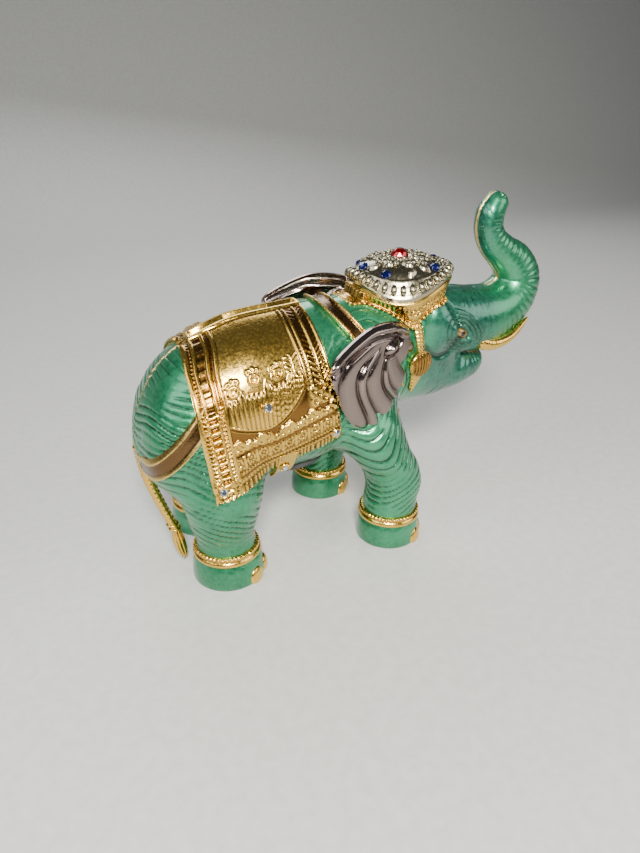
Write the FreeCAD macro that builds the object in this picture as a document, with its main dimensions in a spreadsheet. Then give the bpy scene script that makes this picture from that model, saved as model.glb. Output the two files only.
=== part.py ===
import FreeCAD, Part
import math
import os

# Elephant money bank, millimetres. +X towards the trunk, +Y the elephant's left, +Z up.
# Origin: the middle of the overall box, on the surface that the soles stand on.

doc = FreeCAD.newDocument("ElephantBank")

# ---------------------------------------------------------------- design table

DIMENSIONS = {
    # wall of the two castings round the coin chamber
    "wall": 2.2,
    # coin slot in the ridge of the saddle cloth, and its raised lips
    "slot_length": 27.0,
    "slot_width": 2.6,
    "slot_x": -31.0,
    "slot_from_z": 56.0,
    "slot_reach": 20.0,
    "lip_width": 1.0,
    "lip_height": 0.7,
    # stopper in a recess of the belly
    "plug_x": -22.0,
    "plug_hole": 22.0,
    "plug_seat_z": 27.0,
    "plug_recess": 25.4,
    "plug_recess_depth": 8.0,
    "plug_boss": 27.8,
    "plug_boss_height": 5.4,
    "plug_flange": 24.4,
    "plug_flange_height": 1.2,
    "plug_neck_height": 5.6,
    "plug_gap": 0.1,
    "plug_hollow": 16.0,
    # lower jaw and crown of the head: half sizes and places
    "jaw_x": 34.0,
    "jaw_z": 41.6,
    "jaw_length": 8.0,
    "jaw_width": 6.2,
    "jaw_height": 5.4,
    "crown_z": 59.5,
    "crown_length": 17.0,
    "crown_width": 14.2,
    "crown_height": 10.5,
    # screws and locating pins across the joint of the two castings
    "screw": 3.0,
    "screw_head": 5.6,
    "screw_head_height": 2.0,
    "screw_length": 20.0,
    "screw_head_y": 8.0,
    "screw_slot": 0.8,
    "screw_boss": 7.4,
    "rear_screw_x": -53.0,
    "rear_screw_z": 41.0,
    "front_screw_x": 7.0,
    "front_screw_z": 42.0,
    "pin": 2.4,
    "pin_length": 8.0,
    "rear_pin_z": 32.0,
    "front_pin_x": 31.0,
    "front_pin_z": 52.0,
    # saddle cloth and straps
    "cloth_thickness": 1.0,
    "strap_thickness": 0.8,
    "strap_gap": 0.3,
    "girth_x": -27.2,
    "girth_z": 45.0,
    "girth_width": 5.2,
    "girth_lean": 0.0,
    "crupper_x": -54.0,
    "crupper_z": 40.6,
    "crupper_width": 6.2,
    "crupper_lean": 41.5,
    "neck_strap_x": 2.7,
    "neck_strap_z": 50.2,
    "neck_strap_width": 4.6,
    "neck_strap_lean": -35.4,
    # bell at the throat
    "bell_x": 14.6,
    "bell_z": 30.4,
    "bell": 3.4,
    "bell_stem": 1.4,
    "bell_height": 2.4,
    # headdress: arched cap on a collar
    "headdress_x": 13.2,
    "cap_top": 77.2,
    "cap_radius": 14.0,
    "dome_length": 19.0,
    "dome_width": 15.0,
    "dome_height": 14.0,
    "seat_z": 71.2,
    "seat_radius": 24.5,
    "collar_radius": 14.6,
    "collar_foot_radius": 10.0,
    "collar_foot_z": 60.0,
    "collar_flare_z": 67.0,
    "collar_thickness": 1.1,
    "spigot": 2.4,
    "spigot_length": 4.0,
    "spigot_pitch": 14.0,
    # stones
    "ruby": 4.8,
    "sapphire": 2.7,
    "sapphire_circle": 11.2,
    "crystal": 2.4,
    "stone_sink": 0.4,
    # pendants on the cheeks
    "pendant_x": 13.4,
    "pendant_z": 50.5,
    "pendant_radius": 3.8,
    "pendant_strap": 2.8,
    "pendant_top": 61.0,
    "pendant_tip": 41.6,
    # anklets and toenails
    "anklet_z": 8.2,
    "anklet_height": 3.0,
    "anklet_thickness": 0.8,
    "nail_width": 3.6,
    "nail_height": 3.4,
    "nail_thickness": 1.6,
    "nail_circle": 8.8,
    "nail_spread": 30.0,
    # ears
    "ear_root_x": 8.6,
    "ear_root_y": 14.8,
    "ear_flare": 17.0,
    "ear_thickness": 3.0,
    "left_ear_rise": 4.5,
    # eyes
    "eye_x": 27.6,
    "eye_y": 10.9,
    "eye_z": 56.2,
    "eye_length": 4.2,
    "eye_height": 2.6,
    "eye_depth": 3.4,
}

# Barrel, neck and head: place along X, height of the middle, half height, half width.
BODY_SECTIONS = [
    (-61.0, 36.0, 3.2, 3.0),
    (-60.1, 36.5, 8.0, 7.5),
    (-57.5, 37.8, 13.2, 12.0),
    (-52.0, 40.0, 17.8, 16.8),
    (-44.0, 42.4, 20.2, 19.2),
    (-32.0, 44.5, 21.8, 20.4),
    (-18.0, 45.3, 22.2, 20.4),
    (-6.0, 45.9, 20.8, 18.6),
    (4.0, 48.6, 19.2, 15.6),
    (14.0, 51.4, 17.9, 14.4),
    (24.0, 51.4, 17.4, 13.2),
    (32.0, 50.4, 15.4, 11.2),
    (39.0, 50.6, 12.4, 9.0),
    (42.0, 50.8, 9.0, 6.8),
]

# The coin chamber follows the barrel over these sections.
CHAMBER_SECTIONS = range(4, 10)

# Raised trunk: middle of each section in X and Z, direction from +X, radius.
TRUNK_SECTIONS = [
    (36.0, 54.0, 5.0, 10.0),
    (44.5, 56.0, 20.0, 9.0),
    (50.5, 60.2, 48.0, 8.0),
    (53.9, 66.0, 85.0, 7.1),
    (51.6, 71.3, 128.0, 6.0),
    (47.2, 74.8, 142.0, 5.0),
    (43.3, 78.2, 125.0, 4.4),
    (41.6, 82.6, 95.0, 4.0),
    (42.0, 86.6, 72.0, 3.8),
    (43.6, 89.6, 50.0, 3.2),
]

# Legs: height, lean forward from the foot, lean outward from the foot, radius.
FRONT_LEG_SECTIONS = [
    (0.0, 0.0, 0.0, 9.0),
    (4.0, 0.0, 0.0, 8.8),
    (8.5, 0.2, 0.0, 7.7),
    (17.0, 0.6, -0.2, 7.9),
    (26.0, -3.4, -1.2, 8.8),
    (36.0, -6.5, -4.0, 9.2),
    (43.0, -7.5, -7.5, 7.2),
]
REAR_LEG_SECTIONS = [
    (0.0, 0.0, 0.0, 9.7),
    (4.0, -0.1, 0.0, 9.2),
    (8.5, -0.2, 0.0, 8.0),
    (13.0, -0.4, 0.0, 7.7),
    (20.0, -0.6, 0.0, 9.4),
    (28.0, -0.2, -1.2, 10.6),
    (36.0, 0.6, -3.4, 10.4),
    (43.5, 0.8, -6.8, 8.6),
]

# Feet: middle of the sole and the leg above it. The right fore foot is a step ahead of the left one.
FEET = {
    "right_front": (4.6, -15.5, FRONT_LEG_SECTIONS),
    "left_front": (-3.2, 15.8, FRONT_LEG_SECTIONS),
    "right_rear": (-42.9, -12.7, REAR_LEG_SECTIONS),
    "left_rear": (-42.6, 13.0, REAR_LEG_SECTIONS),
}

# Side view of the saddle cloth, X and Z.
CLOTH_OUTLINE = [(-48.0, 76.0), (-48.6, 45.0), (-46.9, 27.5), (-12.0, 36.6), (-15.4, 57.0), (-15.8, 76.0)]

# Side view of the headdress collar, X and Z, with a point down each cheek.
COLLAR_OUTLINE = [
    (-3.0, 76.0),
    (0.0, 67.4),
    (8.6, 65.6),
    (12.6, 60.6),
    (17.0, 64.4),
    (25.0, 65.4),
    (29.6, 66.8),
    (29.6, 76.0),
]

# An ear seen square to its plate: distance back from its root at the head, and height.
EAR_OUTLINE = [
    (0.0, 61.0),
    (-5.5, 64.8),
    (-13.5, 65.2),
    (-22.0, 62.6),
    (-27.6, 58.4),
    (-25.4, 52.6),
    (-23.0, 46.0),
    (-17.6, 39.8),
    (-12.0, 38.0),
    (-5.4, 39.6),
    (-0.8, 45.0),
    (0.6, 52.4),
]

# Tail: X, Y, Z, fall of its direction below -X in degrees, radius.
TAIL_SECTIONS = [
    (-60.0, 0.0, 35.0, 92.0, 1.5),
    (-59.0, -0.8, 27.0, 99.0, 1.5),
    (-56.6, -2.6, 18.0, 108.0, 1.3),
    (-54.0, -4.2, 10.0, 104.0, 1.6),
    (-52.9, -5.0, 5.0, 100.0, 1.9),
    (-52.2, -5.4, 1.0, 96.0, 0.7),
]

# Tusk: X, distance from the joint plane, Z, rise of its direction in degrees, radius.
TUSK_SECTIONS = [
    (37.0, 7.0, 49.2, 0.0, 2.3),
    (44.0, 9.2, 49.8, 12.0, 2.0),
    (49.5, 9.8, 52.2, 34.0, 1.6),
    (53.8, 9.4, 56.4, 48.0, 0.6),
]

# Blue stones round the cap: turn from the front, degrees.
SAPPHIRE_TURNS = (0.0, 75.0, 145.0, 180.0, 215.0, 285.0)

# Crystals on the saddle cloth and on the girth, X and Z.
CLOTH_CRYSTALS = [(-32.4, 49.3), (-45.0, 30.6), (-14.2, 38.6)]
GIRTH_CRYSTALS = [(-27.2, 30.4)]

FOOT_NAILS = 4
SIDES = {"right": -1, "left": 1}

# Longer than half of the elephant every way, for the slabs and prisms that only trim it.
REACH = 50.0


def write_sheet():
    sheet = doc.addObject("Spreadsheet::Sheet", "Dims")
    cells = dict(DIMENSIONS)
    cells["reach"] = REACH
    add_rows(cells, "body", ("x", "z", "half_height", "half_width"), BODY_SECTIONS)
    add_rows(cells, "trunk", ("x", "z", "rise", "radius"), TRUNK_SECTIONS)
    add_rows(cells, "front_leg", ("z", "forward", "outward", "radius"), FRONT_LEG_SECTIONS)
    add_rows(cells, "rear_leg", ("z", "forward", "outward", "radius"), REAR_LEG_SECTIONS)
    add_rows(cells, "tail", ("x", "y", "z", "fall", "radius"), TAIL_SECTIONS)
    add_rows(cells, "tusk", ("x", "y", "z", "rise", "radius"), TUSK_SECTIONS)
    for name, (x, y, sections) in FEET.items():
        cells[name + "_foot_x"] = x
        cells[name + "_foot_y"] = y
    for row, (name, value) in enumerate(cells.items(), start=1):
        sheet.set("A%d" % row, name)
        sheet.set("B%d" % row, "%g" % value)
        sheet.setAlias("B%d" % row, name)
    doc.recompute()
    return sheet


def add_rows(cells, prefix, names, rows):
    for number, row in enumerate(rows):
        for name, value in zip(names, row):
            cells["%s_%d_%s" % (prefix, number, name)] = value


Dims = write_sheet()


def dim(name):
    return float(getattr(Dims, name))


# ---------------------------------------------------------------- helpers


def bind(obj, formulas):
    for prop, formula in formulas.items():
        obj.setExpression(prop, formula)
    return obj


def place(obj, x="0", y="0", z="0"):
    return bind(obj, {"Placement.Base.x": x, "Placement.Base.y": y, "Placement.Base.z": z})


def turn(obj, axis, angle):
    obj.Placement.Rotation = FreeCAD.Rotation(FreeCAD.Vector(*axis), 1.0)
    return bind(obj, {"Placement.Rotation.Angle": angle})


def solid(kind, name, formulas, x="0", y="0", z="0"):
    obj = doc.addObject("Part::" + kind, name)
    bind(obj, formulas)
    return place(obj, x, y, z)


def cylinder(name, radius, height, x="0", y="0", z="0"):
    return solid("Cylinder", name, {"Radius": radius, "Height": height}, x, y, z)


def across(obj):
    """Lay a solid that was made along Z along +Y."""
    obj.Placement.Rotation = FreeCAD.Rotation(FreeCAD.Vector(1, 0, 0), -90)
    return obj


def pair(kind, name, base, tool):
    obj = doc.addObject("Part::" + kind, name)
    obj.Base = base
    obj.Tool = tool
    obj.Refine = False
    return obj


def cut(name, base, tool):
    return pair("Cut", name, base, tool)


def common(name, base, tool):
    return pair("Common", name, base, tool)


def fuse(name, pieces):
    obj = doc.addObject("Part::MultiFuse", name)
    obj.Shapes = pieces
    obj.Refine = False
    return obj


def group(name, pieces):
    obj = doc.addObject("Part::Compound", name)
    obj.Links = pieces
    return obj


def loft(name, sections):
    obj = doc.addObject("Part::Loft", name)
    obj.Sections = sections
    obj.Solid = True
    obj.Ruled = False
    return obj


def prism(name, face, half_width):
    """A flat face in the XZ plane, carried to both sides of it."""
    face.translate(FreeCAD.Vector(0, -half_width, 0))
    obj = doc.addObject("Part::Feature", name)
    obj.Shape = face.extrude(FreeCAD.Vector(0, 2 * half_width, 0))
    return obj


def polygon_face(outline):
    corners = [FreeCAD.Vector(x, 0, z) for x, z in outline]
    return Part.Face(Part.makePolygon(corners + corners[:1]))


def smooth_face(outline):
    curve = Part.BSplineCurve()
    curve.interpolate([FreeCAD.Vector(x, 0, z) for x, z in outline], PeriodicFlag=True)
    return Part.Face(Part.Wire(curve.toShape()))


# ---------------------------------------------------------------- forms of the two castings


def body_loft(name, numbers, grow):
    sections = []
    for number in numbers:
        ring = doc.addObject("Part::Ellipse", "%s_section_%d" % (name, number))
        ring.Placement.Rotation = FreeCAD.Rotation(FreeCAD.Vector(0, 1, 0), -90)
        key = "Dims.body_%d_" % number
        bind(ring, {"MajorRadius": key + "half_height" + grow, "MinorRadius": key + "half_width" + grow})
        sections.append(place(ring, key + "x", "0", key + "z"))
    return loft(name, sections)


def round_loft(name, prefix, count, y, angle):
    """A round form through sections that turn about the Y axis only."""
    sections = []
    for number in range(count):
        ring = doc.addObject("Part::Circle", "%s_section_%d" % (name, number))
        key = "Dims.%s_%d_" % (prefix, number)
        bind(ring, {"Radius": key + "radius"})
        place(ring, key + "x", y.format(key), key + "z")
        sections.append(turn(ring, (0, 1, 0), angle.format(key)))
    return loft(name, sections)


def leg_loft(name, foot, grow=""):
    side, end = foot.split("_")
    sections = []
    for number in range(len(FEET[foot][2])):
        ring = doc.addObject("Part::Circle", "%s_section_%d" % (name, number))
        key = "Dims.%s_leg_%d_" % (end, number)
        bind(ring, {"Radius": key + "radius" + grow})
        x = "Dims.%s_foot_x + %sforward" % (foot, key)
        y = "Dims.%s_foot_y + %d * %soutward" % (foot, SIDES[side], key)
        sections.append(place(ring, x, y, key + "z"))
    return loft(name, sections)


every_section = range(len(BODY_SECTIONS))
barrel = body_loft("barrel", every_section, "")
trunk = round_loft("trunk", "trunk", len(TRUNK_SECTIONS), "0", "90 - {}rise")
jaw = solid(
    "Ellipsoid",
    "jaw",
    {"Radius1": "Dims.jaw_height", "Radius2": "Dims.jaw_length", "Radius3": "Dims.jaw_width"},
    "Dims.jaw_x",
    "0",
    "Dims.jaw_z",
)
crown = solid(
    "Ellipsoid",
    "crown",
    {"Radius1": "Dims.crown_height", "Radius2": "Dims.crown_length", "Radius3": "Dims.crown_width"},
    "Dims.headdress_x",
    "0",
    "Dims.crown_z",
)
legs = [leg_loft("leg_" + foot, foot) for foot in FEET]
casting = fuse("casting", [barrel, trunk, jaw, crown] + legs)

# ---------------------------------------------------------------- spaces in the castings

SCREW_PLACES = {
    "rear": ("Dims.rear_screw_x", "Dims.rear_screw_z"),
    "front": ("Dims.front_screw_x", "Dims.front_screw_z"),
}
PIN_PLACES = {
    "rear": ("Dims.rear_screw_x", "Dims.rear_pin_z"),
    "front": ("Dims.front_pin_x", "Dims.front_pin_z"),
}


def screw_boss(name, x, z):
    return across(cylinder("boss_" + name, "Dims.screw_boss / 2", "2 * Dims.reach", x, "-Dims.reach", z))


def screw_shank(name, x, z):
    first = "Dims.screw_head_y - Dims.screw_length"
    return across(cylinder("shank_" + name, "Dims.screw / 2", "Dims.screw_length", x, first, z))


def screw_seat(name, height, x, z):
    return across(cylinder(name, "Dims.screw_head / 2", height, x, "Dims.screw_head_y", z))


def locating_pin(name, x, z):
    first = "-Dims.pin_length / 2"
    return across(cylinder("pin_" + name, "Dims.pin / 2", "Dims.pin_length", x, first, z))


chamber = body_loft("chamber", CHAMBER_SECTIONS, " - Dims.wall")
plug_boss = cylinder(
    "plug_boss",
    "Dims.plug_boss / 2",
    "Dims.plug_boss_height + Dims.plug_recess_depth",
    "Dims.plug_x",
    "0",
    "Dims.plug_seat_z - Dims.plug_recess_depth",
)
bosses = fuse("bosses", [plug_boss] + [screw_boss(name, *at) for name, at in SCREW_PLACES.items()])
hollow = cut("hollow", chamber, bosses)
plug_hole = cylinder(
    "plug_hole", "Dims.plug_hole / 2", "2 * Dims.plug_boss_height", "Dims.plug_x", "0", "Dims.plug_seat_z"
)
plug_seat = cylinder(
    "plug_seat",
    "Dims.plug_recess / 2",
    "Dims.plug_recess_depth",
    "Dims.plug_x",
    "0",
    "Dims.plug_seat_z - Dims.plug_recess_depth",
)
coin_slot = solid(
    "Box",
    "coin_slot",
    {"Length": "Dims.slot_length", "Width": "Dims.slot_width", "Height": "Dims.slot_reach"},
    "Dims.slot_x - Dims.slot_length / 2",
    "-Dims.slot_width / 2",
    "Dims.slot_from_z",
)
bores = [screw_shank("bore_" + name, *at) for name, at in SCREW_PLACES.items()]
counterbores = [screw_seat("counterbore_" + name, "Dims.reach", *at) for name, at in SCREW_PLACES.items()]
pin_holes = [locating_pin("hole_" + name, *at) for name, at in PIN_PLACES.items()]
spaces = fuse("spaces", [hollow, plug_hole, plug_seat, coin_slot] + bores + counterbores + pin_holes)

# ---------------------------------------------------------------- fasteners and stopper


def screw(name, x, z):
    head = screw_seat("head_" + name, "Dims.screw_head_height", x, z)
    drive = solid(
        "Box",
        "drive_" + name,
        {"Length": "Dims.screw_slot", "Width": "Dims.screw_slot", "Height": "Dims.screw_head"},
        x + " - Dims.screw_slot / 2",
        "Dims.screw_head_y + Dims.screw_head_height - Dims.screw_slot",
        z + " - Dims.screw_head / 2",
    )
    return cut("screw_" + name, fuse("blank_" + name, [screw_shank(name, x, z), head]), drive)


def belly_plug():
    flange = cylinder(
        "plug_flange",
        "Dims.plug_flange / 2",
        "Dims.plug_flange_height",
        "Dims.plug_x",
        "0",
        "Dims.plug_seat_z - Dims.plug_flange_height",
    )
    neck = cylinder(
        "plug_neck",
        "Dims.plug_hole / 2 - Dims.plug_gap",
        "Dims.plug_neck_height",
        "Dims.plug_x",
        "0",
        "Dims.plug_seat_z",
    )
    recess = cylinder(
        "plug_inside",
        "Dims.plug_hollow / 2",
        "Dims.plug_neck_height",
        "Dims.plug_x",
        "0",
        "Dims.plug_seat_z + Dims.plug_flange_height",
    )
    return cut("belly_plug", fuse("plug_blank", [flange, neck]), recess)


group("shell_screws", [screw(name, *at) for name, at in SCREW_PLACES.items()])
group("locating_pins", [locating_pin(name, *at) for name, at in PIN_PLACES.items()])
belly_plug()


def half_space(side):
    sign = SIDES[side]
    return solid(
        "Box",
        side + "_half_space",
        {"Length": "4 * Dims.reach", "Width": "Dims.reach", "Height": "3 * Dims.reach"},
        "-2 * Dims.reach",
        "-Dims.reach" if sign < 0 else "0",
        "-Dims.reach",
    )


halves = {side: half_space(side) for side in SIDES}

# ---------------------------------------------------------------- saddle cloth and straps

cloth_skin = fuse(
    "cloth_skin",
    [
        body_loft("cloth_barrel", every_section, " + Dims.cloth_thickness"),
        leg_loft("cloth_right_thigh", "right_rear", " + Dims.cloth_thickness"),
        leg_loft("cloth_left_thigh", "left_rear", " + Dims.cloth_thickness"),
    ],
)
strap_skin = fuse(
    "strap_skin",
    [
        body_loft("strap_barrel", every_section, " + Dims.strap_thickness"),
        leg_loft("strap_right_thigh", "right_rear", " + Dims.strap_thickness"),
        leg_loft("strap_left_thigh", "left_rear", " + Dims.strap_thickness"),
    ],
)
cloth_area = prism("cloth_area", polygon_face(CLOTH_OUTLINE), REACH)
cloth_layer = common("cloth_layer", cloth_skin, cloth_area)
slot_lip = solid(
    "Box",
    "slot_lip",
    {
        "Length": "Dims.slot_length + 2 * Dims.lip_width",
        "Width": "Dims.slot_width + 2 * Dims.lip_width",
        "Height": "Dims.slot_reach",
    },
    "Dims.slot_x - Dims.slot_length / 2 - Dims.lip_width",
    "-Dims.slot_width / 2 - Dims.lip_width",
    "Dims.slot_from_z",
)
lip_skin = body_loft("lip_barrel", every_section, " + Dims.cloth_thickness + Dims.lip_height")
slot_frame = common("slot_frame", slot_lip, lip_skin)
cloth_metal = fuse("cloth_metal", [cloth_layer, slot_frame])
cloth = cut("cloth", cloth_metal, fuse("cloth_backing", [casting, coin_slot]))


def strap_band(name, x, z, width, lean):
    """The part of the strap skin inside a slab that leans from upright about the Y axis."""
    slab = solid("Box", name + "_slab", {"Length": width, "Width": "2 * Dims.reach", "Height": "2 * Dims.reach"})
    turn(slab, (0, 1, 0), lean)
    place(
        slab,
        "%s - %s / 2 * cos(%s) - Dims.reach * sin(%s)" % (x, width, lean, lean),
        "-Dims.reach",
        "%s + %s / 2 * sin(%s) - Dims.reach * cos(%s)" % (z, width, lean, lean),
    )
    return common(name + "_band", strap_skin, slab)


plug_clearance = cylinder(
    "plug_clearance",
    "Dims.plug_recess / 2 + Dims.strap_gap",
    "2 * Dims.plug_recess_depth",
    "Dims.plug_x",
    "0",
    "Dims.plug_seat_z - Dims.plug_recess_depth",
)
girth_band = strap_band("girth", "Dims.girth_x", "Dims.girth_z", "Dims.girth_width", "Dims.girth_lean")
girth = cut("girth", girth_band, fuse("girth_ends", [casting, cloth_area, plug_clearance]))

tail = round_loft("whole_tail", "tail", len(TAIL_SECTIONS), "{}y", "90 + {}fall")
cut("tail", tail, casting)
crupper_band = strap_band("crupper", "Dims.crupper_x", "Dims.crupper_z", "Dims.crupper_width", "Dims.crupper_lean")
cut("crupper_strap", crupper_band, fuse("crupper_ends", [casting, cloth_area, tail]))

neck_band = strap_band(
    "neck", "Dims.neck_strap_x", "Dims.neck_strap_z", "Dims.neck_strap_width", "Dims.neck_strap_lean"
)
neck_strap = cut("neck_strap", neck_band, casting)

bell_body = solid("Sphere", "bell_body", {"Radius": "Dims.bell / 2"}, "Dims.bell_x", "0", "Dims.bell_z")
bell_stem = cylinder("bell_stem", "Dims.bell_stem / 2", "Dims.bell_height", "Dims.bell_x", "0", "Dims.bell_z")
bell_blank = fuse("bell_blank", [bell_body, bell_stem])
cut("throat_bell", bell_blank, fuse("bell_backing", [neck_strap, casting]))

# ---------------------------------------------------------------- headdress


def spigots(name):
    pins = []
    for side, sign in SIDES.items():
        y = "%d * Dims.spigot_pitch / 2" % sign
        z = "Dims.seat_z - Dims.spigot_length"
        pins.append(cylinder(name + "_" + side, "Dims.spigot / 2", "Dims.spigot_length", "Dims.headdress_x", y, z))
    return fuse(name, pins)


def cut_stone(name, diameter, point, normal):
    """A round stone with a flat face, sunk a little into the surface at a point."""
    obj = doc.addObject("Part::Cone", name)
    bind(obj, {"Radius1": diameter + " / 2", "Radius2": diameter + " * 0.3", "Height": diameter + " * 0.1 + 0.9"})
    facing = FreeCAD.Rotation(FreeCAD.Vector(0, 0, 1), normal)
    obj.Placement = FreeCAD.Placement(point - normal * dim("stone_sink"), facing)
    return obj


def dome_stone(name, diameter, out, around):
    """A stone square to the dome, at a distance from its middle and a turn from the front."""
    half = FreeCAD.Vector(dim("dome_length"), dim("dome_width"), dim("dome_height"))
    x = out * math.cos(math.radians(around))
    y = out * math.sin(math.radians(around))
    z = half.z * math.sqrt(1 - (x / half.x) ** 2 - (y / half.y) ** 2)
    normal = FreeCAD.Vector(x / half.x**2, y / half.y**2, z / half.z**2).normalize()
    middle = FreeCAD.Vector(dim("headdress_x"), 0, dim("cap_top") - half.z)
    return cut_stone(name, diameter, middle + FreeCAD.Vector(x, y, z), normal)


ruby = dome_stone("ruby", "Dims.ruby", 0.0, 0.0)
sapphires = [
    dome_stone("sapphire_%d" % number, "Dims.sapphire", dim("sapphire_circle"), around)
    for number, around in enumerate(SAPPHIRE_TURNS)
]
dome = solid(
    "Ellipsoid",
    "dome",
    {"Radius1": "Dims.dome_height", "Radius2": "Dims.dome_length", "Radius3": "Dims.dome_width"},
    "Dims.headdress_x",
    "0",
    "Dims.cap_top - Dims.dome_height",
)
seat = cylinder("seat", "Dims.seat_radius", "2 * Dims.reach", "-Dims.reach", "0", "Dims.seat_z - Dims.seat_radius")
seat.Placement.Rotation = FreeCAD.Rotation(FreeCAD.Vector(0, 1, 0), 90)
rim = cylinder("rim", "Dims.cap_radius", "30", "Dims.headdress_x", "0", "55")
cap = cut("cap", common("dome_in_rim", dome, rim), seat)
cut("head_medallion", fuse("cap_on_spigots", [cap, spigots("spigots")]), fuse("stone_seats", [ruby] + sapphires))
group("medallion_ruby", [ruby])
group("medallion_sapphires", sapphires)

flare = solid(
    "Cone",
    "collar_flare",
    {
        "Radius1": "Dims.collar_foot_radius",
        "Radius2": "Dims.collar_radius",
        "Height": "Dims.collar_flare_z - Dims.collar_foot_z",
    },
    "Dims.headdress_x",
    "0",
    "Dims.collar_foot_z",
)
brim = cylinder("collar_brim", "Dims.collar_radius", "8", "Dims.headdress_x", "0", "Dims.collar_flare_z")
collar_bowl = cut("collar_bowl", common("seated_bowl", fuse("whole_bowl", [flare, brim]), seat), casting)
collar_barrel = body_loft("collar_barrel", every_section, " + Dims.collar_thickness")
collar_skin = cut("collar_skin", collar_barrel, casting)
collar_area = prism("collar_area", polygon_face(COLLAR_OUTLINE), REACH)
collar_metal = fuse("collar_metal", [collar_bowl, common("collar_sheet", collar_skin, collar_area)])
collar = cut("headdress_collar", collar_metal, spigots("spigot_holes"))

# ---------------------------------------------------------------- pendants on the cheeks

pendant_strap = solid(
    "Box",
    "pendant_strap",
    {"Length": "Dims.pendant_strap", "Width": "2 * Dims.reach", "Height": "Dims.pendant_top - Dims.pendant_z"},
    "Dims.pendant_x - Dims.pendant_strap / 2",
    "-Dims.reach",
    "Dims.pendant_z",
)
pendant_disc = across(
    cylinder(
        "pendant_disc", "Dims.pendant_radius", "2 * Dims.reach", "Dims.pendant_x", "-Dims.reach", "Dims.pendant_z"
    )
)
drop_outline = [
    (dim("pendant_x") - 2.6, dim("pendant_z") - 1.5),
    (dim("pendant_x") - 1.6, dim("pendant_tip")),
    (dim("pendant_x") + 1.0, dim("pendant_z") - 6.5),
    (dim("pendant_x") + 2.6, dim("pendant_z") - 1.5),
]
pendant_drop = prism("pendant_drop", polygon_face(drop_outline), REACH)
pendant_area = fuse("pendant_area", [pendant_strap, pendant_disc, pendant_drop])
pendant_blank = common("pendant_blank", collar_skin, pendant_area)
pendants = cut("pendants", pendant_blank, fuse("pendant_ends", [collar, neck_strap]))

# ---------------------------------------------------------------- crystals on the cloth and girth


def surface_point(shape, x, z, sign):
    """Where a line across the elephant at X and Z leaves a solid on one side."""
    line = Part.makeLine(FreeCAD.Vector(x, 0, z), FreeCAD.Vector(x, sign * REACH, z))
    ends = [vertex.Point for vertex in line.common(shape).Vertexes]
    return max(ends, key=lambda point: abs(point.y))


def surface_normal(shape, x, z, sign):
    step = 0.5
    point = surface_point(shape, x, z, sign)
    along = surface_point(shape, x + step, z, sign) - point
    upward = surface_point(shape, x, z + step, sign) - point
    normal = upward.cross(along).normalize()
    return normal if normal.y * sign > 0 else normal.negative()


def crystals(kind, side, skin, places):
    stones = []
    for number, (x, z) in enumerate(places):
        point = surface_point(skin.Shape, x, z, SIDES[side])
        normal = surface_normal(skin.Shape, x, z, SIDES[side])
        stones.append(cut_stone("%s_%s_crystal_%d" % (side, kind, number), "Dims.crystal", point, normal))
    return stones


doc.recompute()
cloth_stones = {side: crystals("cloth", side, cloth_skin, CLOTH_CRYSTALS) for side in SIDES}
girth_stones = {side: crystals("girth", side, strap_skin, GIRTH_CRYSTALS) for side in SIDES}
halves_of_cloth = {}
cheek_pendants = {}
for side in SIDES:
    half_cloth = common(side + "_half_cloth", cloth, halves[side])
    halves_of_cloth[side] = cut(side + "_saddle_cloth", half_cloth, fuse(side + "_seats", cloth_stones[side]))
    cheek_pendants[side] = common(side + "_cheek_pendant", pendants, halves[side])
    group(side + "_crystals", cloth_stones[side])
cut("girth_strap", girth, fuse("girth_seats", girth_stones["right"] + girth_stones["left"]))
group("girth_crystals", girth_stones["right"] + girth_stones["left"])

# ---------------------------------------------------------------- anklets and toenails


def anklet(foot):
    slab = solid(
        "Box",
        foot + "_slab",
        {"Length": "4 * Dims.reach", "Width": "2 * Dims.reach", "Height": "Dims.anklet_height"},
        "-2 * Dims.reach",
        "-Dims.reach",
        "Dims.anklet_z - Dims.anklet_height / 2",
    )
    # the slab takes only this leg, because the skin is the leg's own
    skin = leg_loft(foot + "_anklet_skin", foot, " + Dims.anklet_thickness")
    return cut(foot + "_anklet", common(foot + "_anklet_blank", skin, slab), casting)


def toenails(foot):
    nails = []
    for number in range(FOOT_NAILS):
        share = number - (FOOT_NAILS - 1) / 2
        nail = solid(
            "Ellipsoid",
            "%s_nail_%d" % (foot, number),
            {
                "Radius1": "Dims.nail_height / 2",
                "Radius2": "Dims.nail_thickness",
                "Radius3": "Dims.nail_width / 2",
            },
            "Dims.%s_foot_x + Dims.nail_circle * cos(%g * Dims.nail_spread)" % (foot, share),
            "Dims.%s_foot_y + Dims.nail_circle * sin(%g * Dims.nail_spread)" % (foot, share),
            "Dims.nail_height / 2 + 0.1",
        )
        nails.append(turn(nail, (0, 0, 1), "%g * Dims.nail_spread" % share))
    return cut(foot + "_toenails", fuse(foot + "_nail_blanks", nails), casting)


for foot in FEET:
    anklet(foot)
    toenails(foot)

# ---------------------------------------------------------------- ears, eyes and tusks


def ear(side):
    sign = SIDES[side]
    plate = prism(side + "_ear_plate", smooth_face(EAR_OUTLINE), dim("ear_thickness") / 2)
    rise = "Dims.left_ear_rise" if side == "left" else "0"
    place(plate, "Dims.ear_root_x", "%d * Dims.ear_root_y" % sign, rise)
    turn(plate, (0, 0, 1), "%d * Dims.ear_flare" % -sign)
    neighbours = [casting, halves_of_cloth[side], neck_strap, collar, cheek_pendants[side]]
    return cut(side + "_ear", plate, fuse(side + "_ear_backing", neighbours))


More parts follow.
